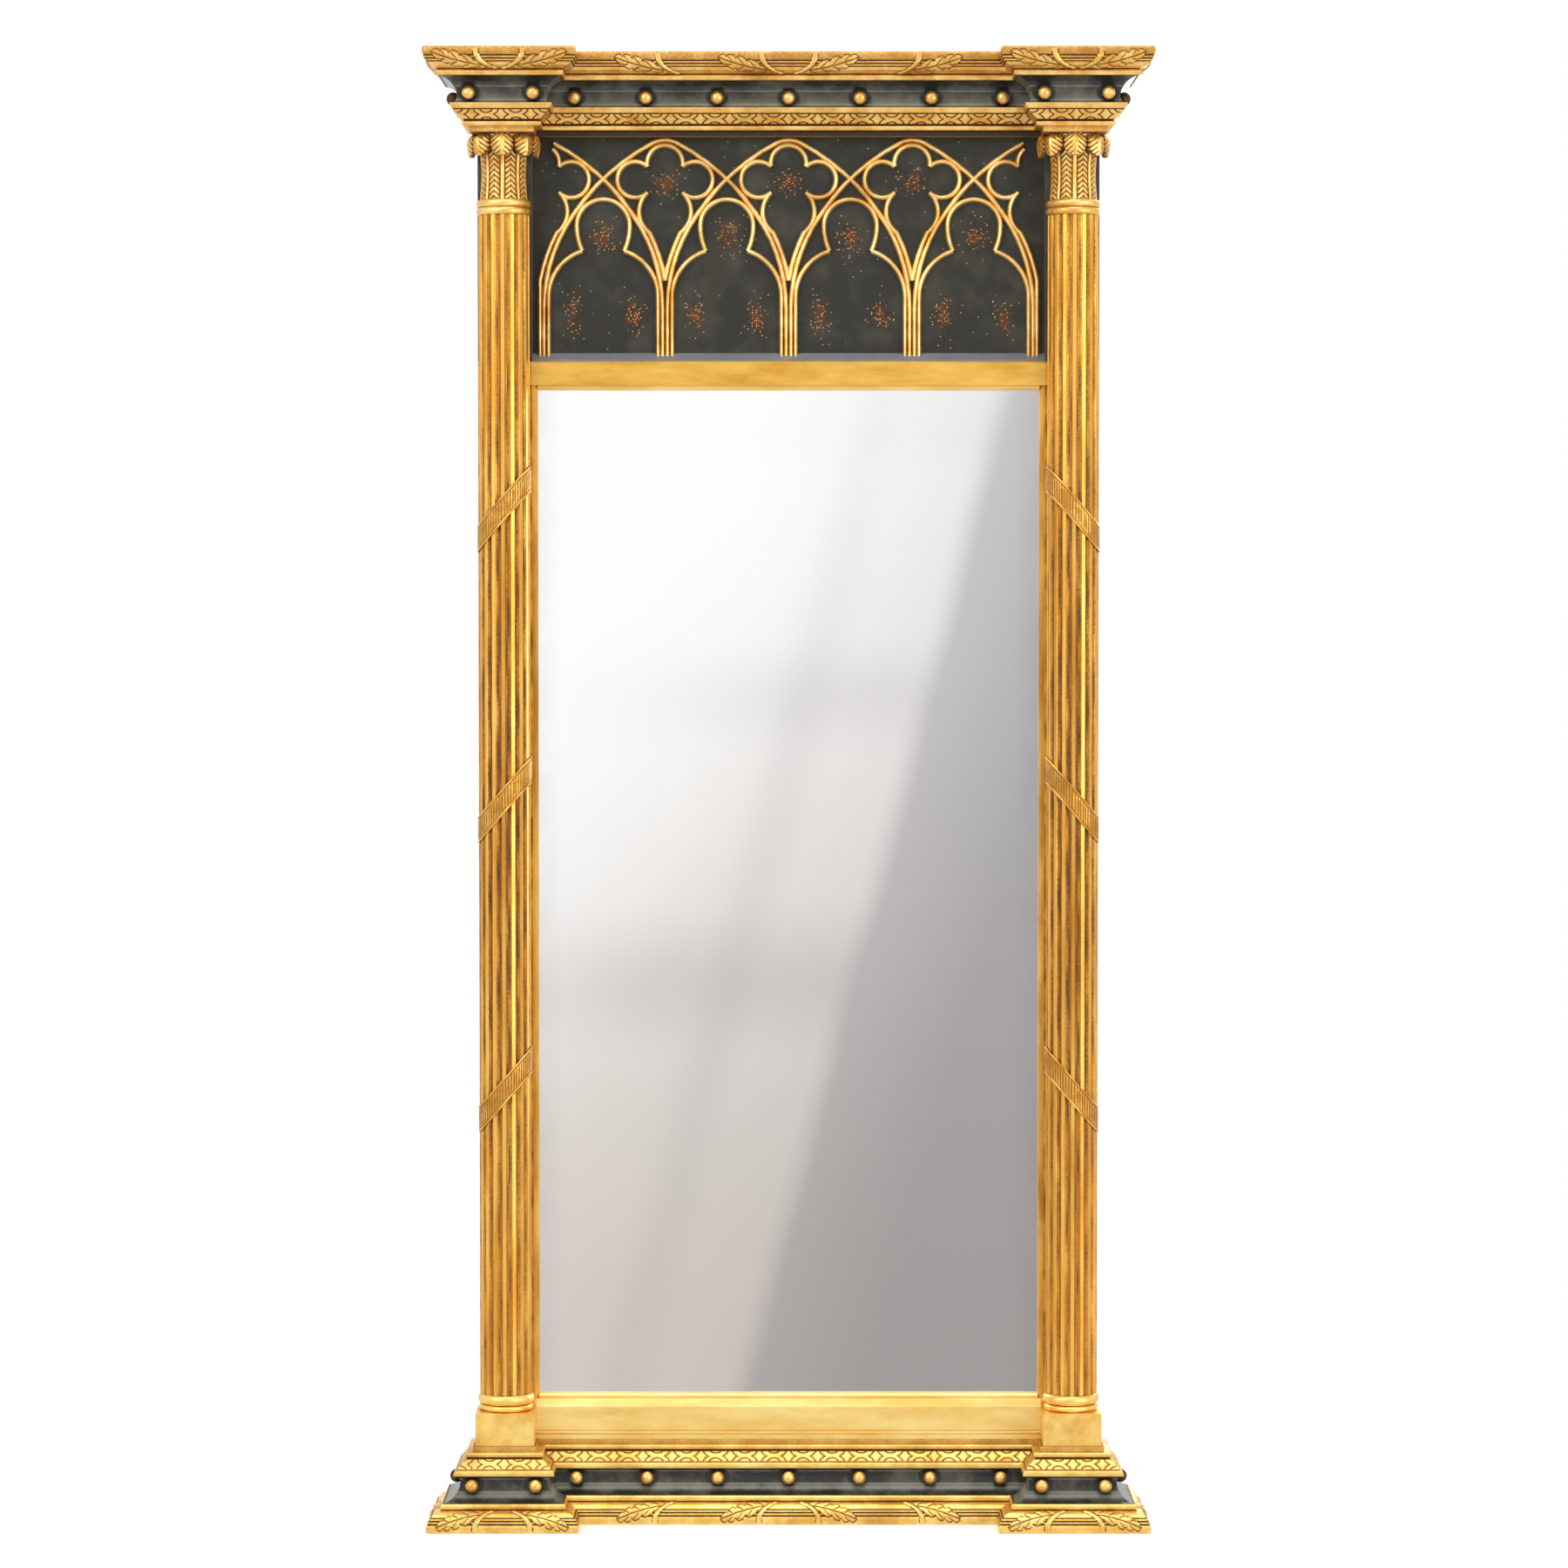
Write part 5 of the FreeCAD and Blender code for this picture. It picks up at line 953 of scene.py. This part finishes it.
def reflected_card():
    """A pale wall, greyer towards the floor, with sunlight through a paned window on its left. The light fades towards
    a slanting edge, with a glow beyond it; each bar of the window is a soft dip about its slanting or level line."""
    material, add, shader, place = new_finish("wall_in_window_light")
    axes = add("SeparateXYZ", {0: place}).node.outputs
    ripple = add("TexNoise", {"Vector": place, "Scale": 1.6, "Detail": 2.0})
    leaning = add("MULTIPLY_ADD", {0: axes[2], 1: -0.265, 2: axes[0]})
    slant = add("MULTIPLY_ADD", {0: ripple, 1: 0.05, 2: leaning})
    soft = {"interpolation_type": "SMOOTHSTEP"}
    lit = add("MapRange", {0: slant, 1: 0.24, 2: 0.12}, **soft)
    head = add("MapRange", {0: axes[2], 1: 1.22, 2: 1.1, 3: 0.92}, **soft)
    fading = add("MapRange", {0: slant, 1: 0.12, 2: -0.33, 3: 0.75})
    shades = [head, fading]
    for line, middle, width, dimmed in ((slant, -0.1, 0.1, 0.84), (slant, -0.6, 0.09, 0.92),
                                        (axes[2], 0.63, 0.15, 0.8), (axes[2], 0.0, 0.2, 0.7)):
        away = add("ABSOLUTE", {0: add("SUBTRACT", {0: line, 1: middle})})
        shades.append(add("MapRange", {0: away, 1: 0.0, 2: width, 3: dimmed}, **soft))
    for shade in shades:
        lit = add("MULTIPLY", {0: lit, 1: shade})
    beyond = add("MapRange", {0: slant, 1: 0.45, 2: 0.2, 4: 0.22})
    lit = add("MAXIMUM", {0: lit, 1: beyond})
    low = add("MapRange", {0: axes[2], 1: 1.3, 2: -0.9}, **soft)
    shadow = add("Mix", {0: low, 6: "#b7b5b8", 7: "#a39e9d"})
    sun = add("Mix", {0: low, 6: "#fffefd", 7: "#d6cec9"})
    wall = add("Mix", {0: lit, 6: shadow, 7: sun})
    across = add("MULTIPLY", {0: axes[0], 1: -0.9})
    corner = add("MULTIPLY_ADD", {0: axes[2], 1: 0.55, 2: across})
    glare = add("MapRange", {0: corner, 1: 0.2, 2: 0.9}, **soft)
    colour = add("Mix", {0: glare, 6: wall, 7: (1, 1, 1, 1)})
    glow = add("Emission", {"Color": colour, "Strength": 1.0})
    plug(material.node_tree.nodes["Material Output"], {"Surface": glow})
    material.node_tree.nodes.remove(shader)
    return material


floor = stage_sheet("floor", [(-1.6, -1.3, 0), (1.6, -1.3, 0), (1.6, 0.9, 0), (-1.6, 0.9, 0)], pale_floor())
floor.visible_glossy = False
card = stage_sheet("wall_behind_camera", [(-0.85, -6, -1.3), (0.85, -6, -1.3), (0.85, -6, 1.6), (-0.85, -6, 1.6)],
                   reflected_card())
card.visible_camera = card.visible_diffuse = card.visible_shadow = False

world = bpy.data.worlds.new("white_room")
bpy.context.scene.world = world
world.use_nodes = True
world.node_tree.nodes.clear()
add = functools.partial(add_node, world.node_tree)
path = add("LightPath").node.outputs
seen = add("MAXIMUM", {0: path["Is Camera Ray"], 1: path["Is Glossy Ray"]})
shown = add("MAXIMUM", {0: seen, 1: path["Is Transmission Ray"]})
strength = add("MapRange", {0: shown, 3: 0.55, 4: 1.0})
room = add("Background", {"Color": (1, 1, 1, 1), "Strength": strength})
add("OutputWorld", {"Surface": room})


def lamp(name, spot, target, size, power):
    """A square soft lamp at a spot, turned to face a target."""
    light = bpy.data.lights.new(name, "AREA")
    light.size, light.energy = size, power
    item = new_object(name, light)
    item.location = spot
    away = np.subtract(spot, target)
    item.rotation_euler = (math.atan2(math.hypot(away[0], away[1]), away[2]), 0, math.atan2(away[0], -away[1]))


lamp("left_window", (-2.2, -2.6, 2.4), (0, 0, 0.7), 1.6, 50)
lamp("right_window", (2.4, -2.4, 1.0), (0, 0, 0.5), 1.8, 36)
lamp("overhead", (0.2, -0.9, 3.2), (0, 0, 0.6), 1.4, 21)
lamp("back_fill", (0.8, 3.0, 2.0), (0, 0, 0.7), 2.0, 40)

camera = bpy.data.cameras.new("camera")
camera.lens = 105.3
camera.sensor_width = 36.0
view = new_object("camera", camera)
view.location = (-0.004, -4.053, 0.8056)
looking_down = 2.1
view.rotation_euler = (math.radians(90 - looking_down), 0, 0)
bpy.context.scene.camera = view
bpy.context.scene.view_settings.view_transform = "Standard"
